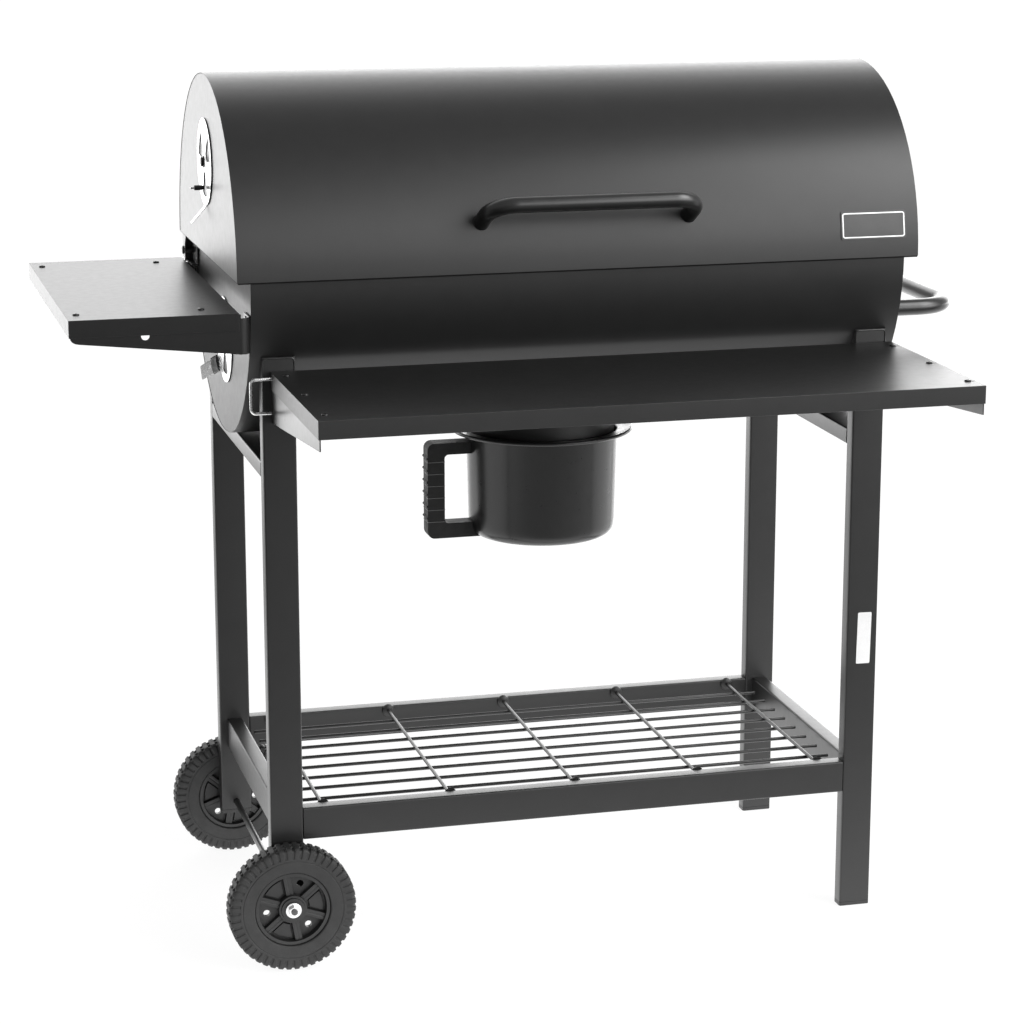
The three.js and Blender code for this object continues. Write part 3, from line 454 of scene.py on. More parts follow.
SHEET_EDGE = 0.45 * MM  # the usual rounding of a CAD node's edges
EDGE_RADII = {
    "ash_collar": 0.6 * MM, "charcoal_grate": 0.5 * MM,
    "cooking_grate_left": 1.2 * MM, "cooking_grate_right": 1.2 * MM,
    **{f"foot_{end}_{side}": 1.2 * MM for end in ("front", "rear") for side in ("left", "right")},
}


def dress(node):
    """Gives a CAD node its finish, smooth curves and softly rounded edges."""
    made = NODES[node]
    slots = {part["node"]: part["material_slot"] for part in frame["record"]["subparts"]}
    material = NODE_MATERIALS.get(node, SLOT_MATERIALS[slots[node]])
    made.data.materials.clear()
    made.data.materials.append(material)
    for name in ("custom_normal", "sharp_edge"):
        if name in made.data.attributes:
            made.data.attributes.remove(made.data.attributes[name])
    made.data.shade_smooth()
    weld = made.modifiers.new("weld", "WELD")
    weld.merge_threshold = 0.01 * MM
    flatten = made.modifiers.new("merge_flats", "DECIMATE")
    flatten.decimate_type = "DISSOLVE"
    flatten.angle_limit = math.radians(1.5)
    add_bevel(made, EDGE_RADII.get(node, SHEET_EDGE))


# ---- wheels

TYRE_HALF = (  # (radius, across, depth of the tread's grooves, of the sidewall's), mm
    (46.1, 11.5, 0, 0), (46.1, 13.4, 0, 0), (47.4, 14.4, 0, 0), (52, 14.8, 0, 0),
    (60.0, 15.0, 0, 0), (60.6, 14.9, 0, 0), (61.2, 14.2, 0, 0), (61.8, 14.9, 0, 0),
    (62.4, 15.0, 0, 0), (64.2, 15.0, 0, 0), (64.8, 15.0, 0, 1.1), (69, 15.0, 0, 1.2),
    (72.5, 14.9, 0.5, 1.2), (74.6, 14.3, 1.2, 0.9), (76.1, 13.1, 1.9, 0.4),
    (77.1, 11.6, 2.2, 0), (77.4, 10.0, 2.3, 0), (77.4, 6.2, 2.3, 0), (77.4, 5.6, 0.3, 0),
    (77.4, 3.0, 0.3, 0), (77.4, 2.4, 1.8, 0),
)


def tyre_mesh():
    """A tyre about the Y axis, with lugs round its tread and shoulders."""
    outer = [(radius, -across, tread, -side) for radius, across, tread, side in TYRE_HALF]
    rings = []
    for lug in range(TREAD_LUGS):
        for share, groove in LUG_STEPS:
            turn = TAU * (lug + share) / TREAD_LUGS
            ring = []
            for radius, across, tread, side in (*outer, *TYRE_HALF[::-1]):
                r = (radius - groove * tread) * MM
                y = (across - groove * side) * MM
                ring.append(Vector((r * math.cos(turn), y, r * math.sin(turn))))
            rings.append(ring)
    return mesh_of("tyre", *stitched(rings, closed_path=True))


WHEEL_ROWS = (  # radii across the wheel's face, mm
    4.5, 14.0, 14.6, 17.0, 17.7, 20.6, 21.3, 37.4, 38.1, 40.6, 41.3, 45.2, 45.9)
SPOKE_LINES = (0.0, 0.7, 1.2, 4.2, 4.9, 6.4, 7.0)  # distances from a spoke's middle, mm
POCKET_LINES = 9
SPOKE_TURN = math.radians(40)
VALVE_HOLES = (70, 190, 310)  # degrees
VALVE_RADIUS = 4.2  # mm
VALVE_REACH = 31 * MM  # from the wheel's middle to a hole's
AXLE_WASHER = 1.5  # thickness, mm
AXLE_NUT = 4.5 * MM  # thickness
AXLE_NUT_RADIUS = 7 * MM


def wheel_height(radius, offset, padded):
    """Height of the wheel's face over its middle plane, in millimetres."""
    if radius < 14.3:
        return 14.5
    if radius < 17.4:
        return 12.6
    if radius > 45.5:
        return 11.2
    if radius > 41:
        return 12.0
    if offset < 1:
        return 8.9
    if offset < 4.5:
        return 9.2
    if padded and 21 < radius < 38 and offset > 6.8:
        return 6.0
    return 3.2


def wheel_columns():
    """Lines round the wheel: (spoke number, distance from its middle, share of the pocket)."""
    columns = []
    for spoke in range(SPOKES):
        columns += [(spoke, offset, 0) for offset in SPOKE_LINES]
        columns += [(spoke, SPOKE_LINES[-1], k / POCKET_LINES) for k in range(1, POCKET_LINES)]
        columns += [(spoke, offset, 1) for offset in SPOKE_LINES[:0:-1]]
    return columns


def wheel_point(radius, column, face):
    spoke, offset, share = column
    pitch = TAU / SPOKES
    fit = min(1.0, radius * math.sin(pitch / 2) * 0.93 / SPOKE_LINES[-1])
    lean = math.asin(min(0.99, offset * fit / radius))
    turn = SPOKE_TURN + pitch * spoke + lean + (pitch - 2 * lean) * share
    height = wheel_height(radius, offset, spoke % 2 == 1)
    return Vector((radius * math.cos(turn), -face * height, radius * math.sin(turn))) * MM


def wheel_mesh():
    """The moulded wheel about the Y axis: hub, six grooved spokes, pockets and a rim."""
    columns = wheel_columns()
    rings = []
    for column in columns:
        front = [wheel_point(radius, column, 1) for radius in WHEEL_ROWS]
        back = [wheel_point(radius, column, -1) for radius in reversed(WHEEL_ROWS)]
        rings.append(front + back)
    mesh = mesh_of("wheel", *stitched(rings, closed_path=True))
    holes = []
    for degrees in VALVE_HOLES:
        turn = math.radians(degrees)
        spot = Vector((math.cos(turn), 0, math.sin(turn))) * VALVE_REACH
        holes.append(lathe("hole", rod_profile(VALVE_RADIUS, 20), spot, AXIS_Y, 28))
    return carved(mesh, joined("holes", holes))


def rod_profile(radius, half_length):
    """Section of a plain rod about its middle, in mm, for lathe()."""
    return ((0, -half_length), (radius, -half_length), (radius, half_length), (0, half_length))


def build_wheels():
    tyre, wheel = tyre_mesh(), wheel_mesh()
    for end, spin, out in (("front", 0, -1), ("rear", math.pi, 1)):
        centre = middle(f"tyre_{end}")
        place = Matrix.Translation(centre) @ Matrix.Rotation(spin, 4, "Z")
        for name, mesh, slot, node, bevel in (
                ("tread_tyre", tyre, "tyre", f"tyre_{end}", 0.3 * MM),
                ("spoked_wheel", wheel, "plastic", f"wheel_{end}", 0.45 * MM)):
            placed = mesh.copy()
            placed.transform(place)
            piece(f"{name}_{end}", placed, SLOT_MATERIALS[slot], f"{end}_wheel",
                  bevel=bevel, segments=1, replaces=node)
        axis = AXIS_Y * out
        nut_low, nut_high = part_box(f"axle_nut_{end}")
        base = Vector((centre.x, nut_low.y if out > 0 else nut_high.y, centre.z))
        washer = lathe("washer", ring_profile(4.4, 9.6, AXLE_WASHER), base, axis, 48)
        piece(f"axle_washer_{end}", washer, ZINC, "stand", bevel=0.3 * MM,
              replaces=f"axle_nut_{end}")
        corners = circle(base, AXIS_Z, axis.cross(AXIS_Z), AXLE_NUT_RADIUS, 6)
        nut = plate("nut", corners, axis, AXLE_WASHER * MM, AXLE_NUT)
        piece(f"axle_hex_nut_{end}", nut, ZINC, "stand", bevel=0.7 * MM, segments=3)


def ring_profile(inner, outer, height):
    """Section of a flat ring, in mm, for lathe()."""
    return ((inner, 0), (outer, 0), (outer, height), (inner, height))


# ---- ash cup

def arc(a, b, radius, start, end, steps):
    """Points on a circle's arc about (a, b), angles in degrees."""
    turns = [math.radians(start + (end - start) * i / steps) for i in range(steps + 1)]
    return [(a + radius * math.cos(turn), b + radius * math.sin(turn)) for turn in turns]


def build_cup():
    low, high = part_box("ash_cup")
    centre = Vector((high.x - (high.y - low.y) / 2, (low.y + high.y) / 2, low.z))
    height = (high.z - low.z) / MM
    sheet = CUP_SHEET / MM
    brim = (high.y - low.y) / 2 / MM - BRIM_BEAD
    top = height - BRIM_BEAD + BRIM_RISE
    outside = [(0, 1.2), (58, 1.2), (62, 0), (76, 0), *arc(77.5, 14, 14, -84, 0, 8),
               (92.2, 20), (95.3, top - 6), (96.2, top - 2.4), (98.6, top - 0.9)]
    rolled = arc(brim, top - 0.2, BRIM_BEAD, -150, 150, 14)
    inside = [(99.5, top + 0.5), (96.6, top - 0.3), (94.4, top - 3), (93.8, top - 8),
              (91.0, 20), *arc(77.5, 14, 14 - sheet, 0, -84, 8), (76, sheet), (62, sheet),
              (58, 1.2 + sheet), (0, 1.2 + sheet)]
    profile = (*outside, *rolled, *inside)
    cup = lathe("ash_cup_body", profile, centre, AXIS_Z, 120)
    piece("ash_cup_body", cup, ENAMEL, "cup", smooth=50, replaces="ash_cup")
    build_cup_handle(centre)


def build_cup_handle(cup):
    """The grip: a D-shaped frame with thin ribs round its bar and a nub over each rib."""
    low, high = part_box("cup_handle")
    outer_x, inner_x = low.x + GRIP_NUB, low.x + GRIP_BAR
    ribs = [high.z - GRIP_RIB_DROP - GRIP_RIB_PITCH * i for i in range(GRIP_RIBS)]
    outline = grip_outside(cup, outer_x, low.z, high.z, ribs)
    outline += grip_window(inner_x, low.z + GRIP_LOW_ARM, high.z - GRIP_TOP_ARM)
    outline.append((outline[0][0], high.z - GRIP_TOP_ARM))
    points = [Vector((x, low.y, z)) for x, z in outline]
    grip = plate("grip", points, AXIS_Y, 0, high.y - low.y)
    piece("cup_grip", grip, GRIP, "cup", bevel=1.0 * MM, segments=3,
          replaces="cup_handle")
    first = Vector((outer_x - GRIP_RIB_PROUD, low.y - GRIP_RIB_PROUD, -GRIP_RIB_HALF))
    last = Vector((inner_x + GRIP_RIB_PROUD, high.y + GRIP_RIB_PROUD, GRIP_RIB_HALF))
    bands = [block("band", first + AXIS_Z * z, last + AXIS_Z * z) for z in ribs]
    piece("cup_grip_ribs", joined("ribs", bands), RIB, "cup", bevel=0.2 * MM, segments=1)


def grip_outside(cup, outer_x, bottom, top, ribs):
    """(x, z) points of the grip's outer side, from the cup's wall round to its foot."""
    wall = cup.x - 93.4 * MM
    corner_x = outer_x + GRIP_CORNER
    outline = [(wall, top), (corner_x, top)]
    outline += arc(corner_x, top - GRIP_CORNER, GRIP_CORNER, 90, 180, 6)
    for rib in ribs:
        outline += arc(outer_x, rib + GRIP_NUB_RISE, GRIP_NUB, 90, 270, 6)
    outline += arc(corner_x, bottom + GRIP_CORNER, GRIP_CORNER, 180, 270, 6)
    outline += [(cup.x - x * MM, bottom + z * MM)
                for x, z in ((78, 0), (84, 2), (89, 6), (91, 12), (91.6, 19))]
    return outline


def grip_window(inner_x, sill, lintel):
    """(x, z) points of the two rounded corners of the grip's finger window."""
    bow = GRIP_WINDOW_BOW
    return (arc(inner_x + bow, sill + bow, bow, 270, 180, 4)
            + arc(inner_x + bow, lintel - bow, bow, 180, 90, 4))


def block(name, low, high):
    points = [Vector((x, y, z)) for z in (low.z, high.z)
              for x, y in ((low.x, low.y), (high.x, low.y), (high.x, high.y), (low.x, high.y))]
    return mesh_of(name, *stitched([points[:4], points[4:]]))


# ---- handles, hook and rack

def build_lid_handle():
    low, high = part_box("lid_handle")
    r = HANDLE_RADIUS
    ends = [Vector((x, low.y + r, high.z - r)) for x in (low.x + r, high.x - r)]
    hub_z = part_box("lid_shell")[0].z
    lid_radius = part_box("lid_shell")[1].z - hub_z
    away = Vector((0, ends[0].y - STANCE.y, ends[0].z - hub_z))
    along = -away.dot(HANDLE_SLOPE)
    reach = along - math.sqrt(along ** 2 - away.length_squared + lid_radius ** 2) + MM
    feet = [end + HANDLE_SLOPE * reach for end in ends]
    corners = [feet[0], *ends, feet[1]]
    bar = tube("lid_grip", bent_path(corners, HANDLE_BEND, 16), r, 32)
    piece("lid_grip", bar, GLOSS, "lid", replaces="lid_handle")


def build_carry_handle():
    low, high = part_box("carry_handle")
    r = CARRY_RADIUS
    z = middle("carry_handle").z
    ys = (low.y + r, high.y - r)
    corners = [Vector((x, y, z)) for x, y in (
        (low.x, ys[0]), (high.x - r, ys[0]), (high.x - r, ys[1]), (low.x, ys[1]))]
    bar = tube("carry_grip", bent_path(corners, CARRY_BEND, 18), r, 30)
    piece("carry_grip", bar, GLOSS, "stand", replaces="carry_handle")
    profile = ((0, 0), (14, 0), (14, 1.2), (13, 2), (9.5, 2.6), (0, 2.6))
    for name, y in zip(("front", "rear"), ys):
        flange = lathe("flange", profile, Vector((low.x, y, z)), AXIS_X, 40)
        piece(f"carry_grip_flange_{name}", flange, GLOSS, "stand", smooth=50)


# Sections of the near-black strips under the lid's edges, (depth, rise): painted shade for the
# gap between lid and bowl.
DARK_STRIP_SECTION = ((0.05, 0.4), (0.05, -0.7), (0.5, -1.3), (2.4, -1.3), (2.4, 0.4))  # mm
END_DARK_STRIP_SECTION = ((0.05, 0.4), (0.05, -0.5), (0.5, -0.9), (2.0, -0.9), (2.0, 0.4))  # mm


def build_lid_shade_strips():
    """Near-black strips under the lid's lower edges: painted shade for the shadow gap between lid
    and bowl.
    """
    low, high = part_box("lid_shell")
    for end, y, inward in (("front", low.y, 1), ("rear", high.y, -1)):
        section = [Vector((low.x + MM, y + inward * depth * MM, low.z + rise * MM))
                   for depth, rise in DARK_STRIP_SECTION]
        edge = plate("edge", section, AXIS_X, 0, high.x - low.x - 2 * MM)
        piece(f"lid_painted_shade_strip_{end}", edge, SHADE, "lid", bevel=0.2 * MM)
    for end, inward in (("left", 1), ("right", -1)):
        end_low, end_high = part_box(f"lid_end_{end}")
        x = end_low.x if inward > 0 else end_high.x
        section = [Vector((x + inward * depth * MM, end_low.y + 2 * MM, low.z + rise * MM))
                   for depth, rise in END_DARK_STRIP_SECTION]
        edge = plate("edge", section, AXIS_Y, 0, end_high.y - end_low.y - 4 * MM)
        piece(f"lid_painted_shade_strip_{end}", edge, SHADE, "lid", bevel=0.15 * MM)


def build_leg_rims():
    """The rolled rim line round the open top of each leg's outer face."""
    for side in ("left", "right"):
        for end, out in (("front", -1), ("rear", 1)):
            low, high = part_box(f"leg_{end}_{side}")
            y = low.y if out < 0 else high.y
            inset = RIM_RADIUS + 0.4 * MM
            left, right = low.x + inset, high.x - inset
            corners = [Vector((x, y, high.z - down)) for x, down in (
                (left, RIM_DROP), (left, inset), (right, inset), (right, RIM_DROP))]
            rim = tube("rim", bent_path(corners, RIM_BEND, 8), RIM_RADIUS, 12)
            piece(f"leg_rim_{end}_{side}", rim, GLOSS, "stand")


def build_hinge_pins():
    """The lid's pivots: a shank through bracket and strap, with a small domed head outside."""
    for side, inner, outer in (("left", 1, 0), ("right", 0, 1)):
        root_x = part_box(f"hinge_pin_{side}")[inner].x
        face_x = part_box(f"hinge_strap_{side}")[outer].x
        hub = middle(f"hinge_pin_{side}")
        root = Vector((root_x, hub.y, hub.z))
        reach = abs(face_x - root_x) / MM + 0.4
        profile = [(0, 0), (3.6, 0), (3.6, reach), (5.4, reach), (5.4, reach + 0.8),
                   (4.4, reach + 1.7), (2.4, reach + 2.2), (0, reach + 2.3)]
        pin = lathe("pin", profile, root, AXIS_X * (outer - inner), 32)
        piece(f"hinge_pivot_{side}", pin, SCREW, "stand", smooth=35,
              replaces=f"hinge_pin_{side}")


def build_hook():
    low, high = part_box("utensil_hook")
    r = HOOK_RADIUS
    y = middle("utensil_hook").y
    top, bottom = high.z - r, low.z + r
    corners = [Vector((x, y, z)) for x, z in (
        (high.x, top), (low.x + r, top), (low.x + r, bottom), (high.x - 1.5 * MM, bottom))]
    wire = tube("tool_hook", bent_path(corners, HOOK_BEND, 10), r, 16, dome=1.2 * MM)
    piece("tool_hook", wire, ZINC, "stand", replaces="utensil_hook")


def spaced(centre, span, count):
    """Evenly spaced places over a span about a centre."""
    return [centre - span / 2 + span * i / (count - 1) for i in range(count)]


def build_rack():
    """The wire mat, and dark domed lumps on the rails at its cross wires' ends."""
    low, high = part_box("bottom_rack")
    r = WIRE_RADIUS
    long_z = low.z + r
    cross_z = high.z - r
    cross_xs = spaced(STANCE.x, CROSS_SPAN, CROSS_WIRES)
    wires = []
    for y in spaced(STANCE.y, LONG_SPAN, LONG_WIRES):
        path = [Vector((x, y, long_z)) for x in (low.x, STANCE.x, high.x)]
        wires.append(tube("wire", path, r, 14, dome=1.2 * MM))
    for x in cross_xs:
        path = [Vector((x, y, cross_z)) for y in (low.y, STANCE.y, high.y)]
        wires.append(tube("wire", path, r, 14))
    mat = joined("wire_rack", wires)
    piece("wire_rack", mat, PAINT, "stand", replaces="bottom_rack")
    profile = ((0, 0), (8.4, 0), (7.8, 2), (4.6, 3.4), (0, 3.4))
    for i, x in enumerate(cross_xs):
        for end, y, inward in (("front", low.y, 1), ("rear", high.y, -1)):
            foot = Vector((x, y, cross_z))
            dark_stud = lathe("dark_stud", profile, foot, AXIS_Y * inward, 24)
            piece(f"rack_dark_stud_{end}_{i}", dark_stud, SCREW, "stand", smooth=45)


# ---- dampers

def port_at(i, k):
    """Whether the patch of a damper's disc after step i and row k lies in an air port."""
    if not PORT_ROWS[0] <= DAMPER_ROWS[k] < PORT_ROWS[1]:
        return False
    degrees = 360 * (i + 0.5) / DAMPER_STEPS
    return any(abs((degrees - port + 180) % 360 - 180) < PORT_HALF for port in DAMPER_PORTS)


def damper_disc(centre, face_x):
    """Pressed disc with three ports, a raised rim and a raised boss, as one closed skin."""
    steps = DAMPER_STEPS
    points, index = [], {}
    for side in (0, 1):
        for i in range(steps):
            turn = TAU * i / steps
            for k, radius in enumerate(DAMPER_ROWS):
                x = face_x - side * DAMPER_SHEET - DAMPER_LIFT.get(radius, 0.0) * MM
                index[side, i, k] = len(points)
                points.append(Vector((x, centre.y + radius * MM * math.cos(turn),
                                      centre.z + radius * MM * math.sin(turn))))

    def wall(i, k, j, m):
        """A face across the sheet's thickness."""
        return index[0, i, k], index[0, j, m], index[1, j, m], index[1, i, k]

    faces = []
    last = len(DAMPER_ROWS) - 1
    for i in range(steps):
        j = (i + 1) % steps
        for k in range(last):
            if port_at(i, k):
                continue
            for side in (0, 1):
                faces.append((index[side, i, k], index[side, j, k],
                              index[side, j, k + 1], index[side, i, k + 1]))
            if k == 0 or port_at(i, k - 1):
                faces.append(wall(i, k, j, k))
            if k == last - 1 or port_at(i, k + 1):
                faces.append(wall(i, k + 1, j, k + 1))
            for neighbour, edge in ((i - 1, i), (j, j)):
                if port_at(neighbour % steps, k):
                    faces.append(wall(edge, k, edge, k + 1))
    return mesh_of("damper_disc", points, faces)


class Tongue:
    """The line of a damper's handle: flat on the disc, then bent outwards; lengths in mm."""

    BEND = 5.0

    def __init__(self, centre, face_x, turn, lean, length, width):
        angle = math.radians(turn)
        self.along = Vector((0, math.cos(angle), math.sin(angle)))
        self.across = AXIS_X.cross(self.along)
        self.lean = math.radians(lean)
        self.root = Vector((face_x, centre.y, centre.z)) + self.along * TONGUE_ROOT * MM
        self.slope = self.along * math.cos(self.lean) - AXIS_X * math.sin(self.lean)
        self.normal = AXIS_X * math.cos(self.lean) + self.along * math.sin(self.lean)
        self.length, self.half = length, width / 2

    def at(self, reach):
        """The point of the middle line at a distance past the bend, in mm."""
        return self.root + self.slope * reach * MM

    def stations(self, corner):
        """(point, half width) from the disc to the tip, whose corners are rounded."""
        start = self.BEND * math.tan(self.lean / 2)
        line = [(self.root - self.along * back * MM, self.half) for back in (9, 5, start)]
        line += [(self.at(reach), self.half) for reach in (start, self.length / 2)]
        for step in range(7):
            rest = corner * (1 - step / 6)
            inset = corner - math.sqrt(max(0.0, corner ** 2 - (corner - rest) ** 2))
            line.append((self.at(self.length - rest), self.half - inset))
        return line


TONGUE_HOLE = 2.6  # radius, mm


def tongue_mesh(tongue, corner, hole_at=None):
    rings = []
    for spot, half in tongue.stations(corner):
        rings.append([spot + AXIS_X * x + tongue.across * side * half * MM
                      for x, side in ((0, -1), (0, 1), (-DAMPER_SHEET, 1), (-DAMPER_SHEET, -1))])
    mesh = mesh_of("damper_tongue", *stitched(rings))
    if hole_at:
        profile = rod_profile(TONGUE_HOLE, 6)
        hole = lathe("hole", profile, tongue.at(hole_at), tongue.normal, 20)
        mesh = carved(mesh, hole)
    return mesh


COIL_WIRE = 0.9 * MM  # radius
COIL_TURNS = 6


def coil_mesh(tongue, start, end):
    """A wire wound round a damper's tongue, for a cool grip, from start to end in mm."""
    steps = COIL_TURNS * 20
    path = []
    for i in range(steps + 1):
        share = i / steps
        turn = TAU * COIL_TURNS * share
        spot = tongue.at(start + (end - start) * share) - AXIS_X * DAMPER_SHEET / 2
        path.append(spot + tongue.across * math.cos(turn) * (tongue.half + 1.2) * MM
                    + tongue.normal * math.sin(turn) * 2.4 * MM)
    return tube("coil", path, COIL_WIRE, 8, dome=0.6 * MM)


def build_damper(name, body, turn, lean, length, width, corner, hole_at=None, coil=None):
    face_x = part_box(f"{name}_damper")[1].x
    hub = middle(f"{name}_damper_bolt")
    centre = Vector((0, hub.y, hub.z))
    disc = damper_disc(centre, face_x)
    piece(f"{name}_vent_disc", disc, ZINC, body, bevel=0.3 * MM,
          replaces=f"{name}_damper")
    tongue = Tongue(centre, face_x - 0.1 * MM, turn, lean, length, width)
    strip = tongue_mesh(tongue, corner, hole_at)
    piece(f"{name}_vent_tongue", strip, ZINC, body, bevel=0.3 * MM)
    if coil:
        piece(f"{name}_vent_coil", coil_mesh(tongue, *coil), STEEL, body)
    build_knob(name, body)
    nut_face = Vector((face_x - DAMPER_SHEET - 1.4 * MM, hub.y, hub.z))
    washer = lathe("washer", ring_profile(3.0, 7.5, 0.9), nut_face, -AXIS_X, 32)
    piece(f"{name}_vent_washer", washer, SCREW, "lid" if name == "lid" else "stand",
          bevel=0.2 * MM)
    dress(f"{name}_damper_bolt")


def build_knob(name, body):
    """A dark sleeve on a thin bright stud that stands out of a damper's disc."""
    low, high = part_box(f"{name}_damper_knob")
    hub = middle(f"{name}_damper_knob")
    foot = Vector((high.x, hub.y, hub.z))
    length = (high.x - low.x) / MM
    sleeve_end = length - 4.5
    sleeve = [(0, 0), (2.2, 0), (2.2, 2), (3, 2.6), *arc(2.0, sleeve_end - 1, 1, 0, 90, 4),
              (0, sleeve_end)]
    stud = [(0, sleeve_end - 1), (1.3, sleeve_end - 1), (1.3, length - 0.5), (0.9, length),
            (0, length)]
    for part, profile, slot, replaces in (("knob", sleeve, "plastic", f"{name}_damper_knob"),
                                          ("stud", stud, "zinc", "")):
        mesh = lathe(part, profile, foot, -AXIS_X, 28)
        piece(f"{name}_vent_{part}", mesh, SLOT_MATERIALS[slot], body, smooth=45,
              replaces=replaces)


# ---- badge, label and screws

BADGE_SINK = 0.9 * MM  # thickness under the badge's top face
BORDER_INSET = 2.6 * MM
BORDER_HALF = 0.85 * MM  # half the line's width
LABEL_WIDTH = 18 * MM
LABEL_HEIGHT = 66 * MM
LABEL_Z = 353.5 * MM
LABEL_ASIDE = 2.5 * MM  # from the leg's middle line
SCREW_ROWS = (30, 144, 257)  # from the front shelf's rear edge, mm
SCREW_INSETS = (13 * MM, 10 * MM)  # from its left and right edges
SIDE_SCREW_INSETS = (13 * MM, 38 * MM)
SIDE_SCREW_REACH = 182 * MM  # from the barrel's middle plane
KEYHOLE_INSET = 4.6 * MM
BOLT_WASHER = 1.2  # thickness, mm
BOLT_RISES = (9, 31)  # over a side bracket's lower edge, mm


def rounded_outline(width, height, radius, steps=8):
    """Corner points of a rounded rectangle about (0, 0), anticlockwise."""
    points = []
    for x, y, start in ((1, 1, 0), (-1, 1, 90), (-1, -1, 180), (1, -1, 270)):
        points += arc(x * (width / 2 - radius), y * (height / 2 - radius), radius,
                      start, start + 90, steps)
    return points


class LidPatch:
    """The part of the lid's curve that carries the badge, laid out flat from its middle."""

    def __init__(self):
        low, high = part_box("lid_badge")
        self.hub_y, self.hub_z = STANCE.y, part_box("lid_shell")[0].z
        self.outer = Vector((0, low.y - self.hub_y, low.z - self.hub_z)).length
        start = math.atan2(low.z - self.hub_z, self.hub_y - low.y)
        end = math.atan2(high.z - self.hub_z, self.hub_y - high.y)
        self.middle = (start + end) / 2
        self.middle_x = (low.x + high.x) / 2
        self.width, self.height = high.x - low.x, (end - start) * self.outer

    def at(self, x, rise, radius):
        turn = self.middle + rise / self.outer
        return Vector((self.middle_x + x, self.hub_y - radius * math.cos(turn),
                       self.hub_z + radius * math.sin(turn)))


def build_badge():
    """A blank plate that follows the lid's curve, with a plain raised border line."""
    lid = LidPatch()
    base = lid.outer - BADGE_SINK
    top = lid.outer - 0.1 * MM
    shape = rounded_outline(lid.width, lid.height, 3 * MM)
    rings = [[lid.at(x * share, y * share, radius) for x, y in shape]
             for share, radius in ((0.25, base), (0.6, base), (1, base), (1, top - 0.15 * MM),
                                   (0.996, top), (0.8, top), (0.55, top), (0.25, top))]
    badge = mesh_of("name_plate", *stitched(rings))
    piece("blank_badge", badge, BADGE, "lid", smooth=40, replaces="lid_badge")
    line = rounded_outline(lid.width - 2 * BORDER_INSET, lid.height - 2 * BORDER_INSET,
                           2.4 * MM, 10)
    rings = []
    for i, (x, y) in enumerate(line):
        behind, ahead = line[i - 1], line[(i + 1) % len(line)]
        heading = Vector((ahead[0] - behind[0], ahead[1] - behind[1])).normalized()
        out = Vector((heading.y, -heading.x)) * BORDER_HALF
        rings.append([lid.at(x + out.x * s, y + out.y * s, top + h * MM)
                      for s, h in ((-1, -0.1), (1, -0.1), (0.8, 0.12), (-0.8, 0.12))])
    border = mesh_of("border", *stitched(rings, closed_path=True))
    piece("badge_border_line", border, BADGE_LINE, "lid", smooth=50)


def build_label():
    """A blank pale label on the front right leg."""
    face_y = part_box("leg_front_right")[0].y
    centre = Vector((middle("leg_front_right").x + LABEL_ASIDE, face_y, LABEL_Z))
    shape = rounded_outline(LABEL_WIDTH, LABEL_HEIGHT, 1.6 * MM)
    tilt = Matrix.Rotation(math.radians(1.0), 3, "Y")
    outline = [centre + tilt @ Vector((x, 0, z)) for x, z in shape]
    label = plate("label", outline, -AXIS_Y, 0.02 * MM, 0.22 * MM)
    piece("blank_label", label, LABEL, "stand", bevel=0.06 * MM, segments=1)


def screw_mesh(radius=3.9, height=1.9):
    """A pan-head screw with a cross recess, about the Z axis."""
    profile = [(0, -0.2), (radius, -0.2), (radius, 0.4), *arc(radius - 1.3, 0.5, 1.3, 10, 70, 4),
               (radius * 0.4, height - 0.05), (0, height)]
    head = lathe("screw", profile, Vector(), AXIS_Z, 32)
    slots = []
    for x, y in ((2.1, 0.45), (0.45, 2.1)):
        first = Vector((-x, -y, height - 0.9)) * MM
        slots.append(block("slot", first, Vector((x, y, height + 1)) * MM))
    return carved(head, *slots)


def scatter_screws(name, head, places):
    """The same screw at several places, each turned a little further."""
    for i, spot in enumerate(places):
        copy = head.copy()
        copy.transform(Matrix.Translation(spot) @ Matrix.Rotation(0.7 + i, 4, "Z"))
        piece(f"{name}_{i}", copy, SCREW, "stand", smooth=35)


def build_screws():
    head = screw_mesh()
    low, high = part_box("front_shelf")
    left, right = SCREW_INSETS
    scatter_screws("front_shelf_screw", head, [
        Vector((x, high.y - back * MM, high.z))
        for x in (low.x + left, high.x - right) for back in SCREW_ROWS])
    low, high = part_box("side_shelf")
    left, right = SIDE_SCREW_INSETS
    scatter_screws("side_shelf_screw", head, [
        Vector((x, STANCE.y + side * SIDE_SCREW_REACH, high.z))
        for x in (low.x + left, high.x - right) for side in (-1, 1)])


def build_keyhole_shades():
    """Dark flat patches for the narrow ends of the keyhole slots beside the right-hand screws of
    the front shelf: painted shade of the slots' openings.
    """
    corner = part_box("front_shelf")[1]
    outline = rounded_outline(5.2 * MM, 2 * MM, 0.95 * MM, 5)
    for i, back in enumerate(SCREW_ROWS):
        centre = corner - Vector((KEYHOLE_INSET, back * MM, 0))
        shape = [centre + Vector((x, y, 0)) for x, y in outline]
        slot = plate("slot", shape, AXIS_Z, 0, 0.3 * MM)
        piece(f"shelf_keyhole_shade_{i}", slot, SCREW, "stand", bevel=0.08 * MM, segments=1)


def bolt_mesh(radius=6.0, height=4.2):
    """A hexagonal bolt head on a washer, about the Z axis; sizes in mm."""
    profile = ((0, 0), (8.2, 0), (8.2, BOLT_WASHER), (0, BOLT_WASHER))
    washer = lathe("washer", profile, Vector(), AXIS_Z, 36)
    shape = circle(Vector(), AXIS_X, AXIS_Y, radius * MM, 6)
    head = plate("head", shape, AXIS_Z, BOLT_WASHER * MM, height * MM)
    return joined("bolt", [washer, head])


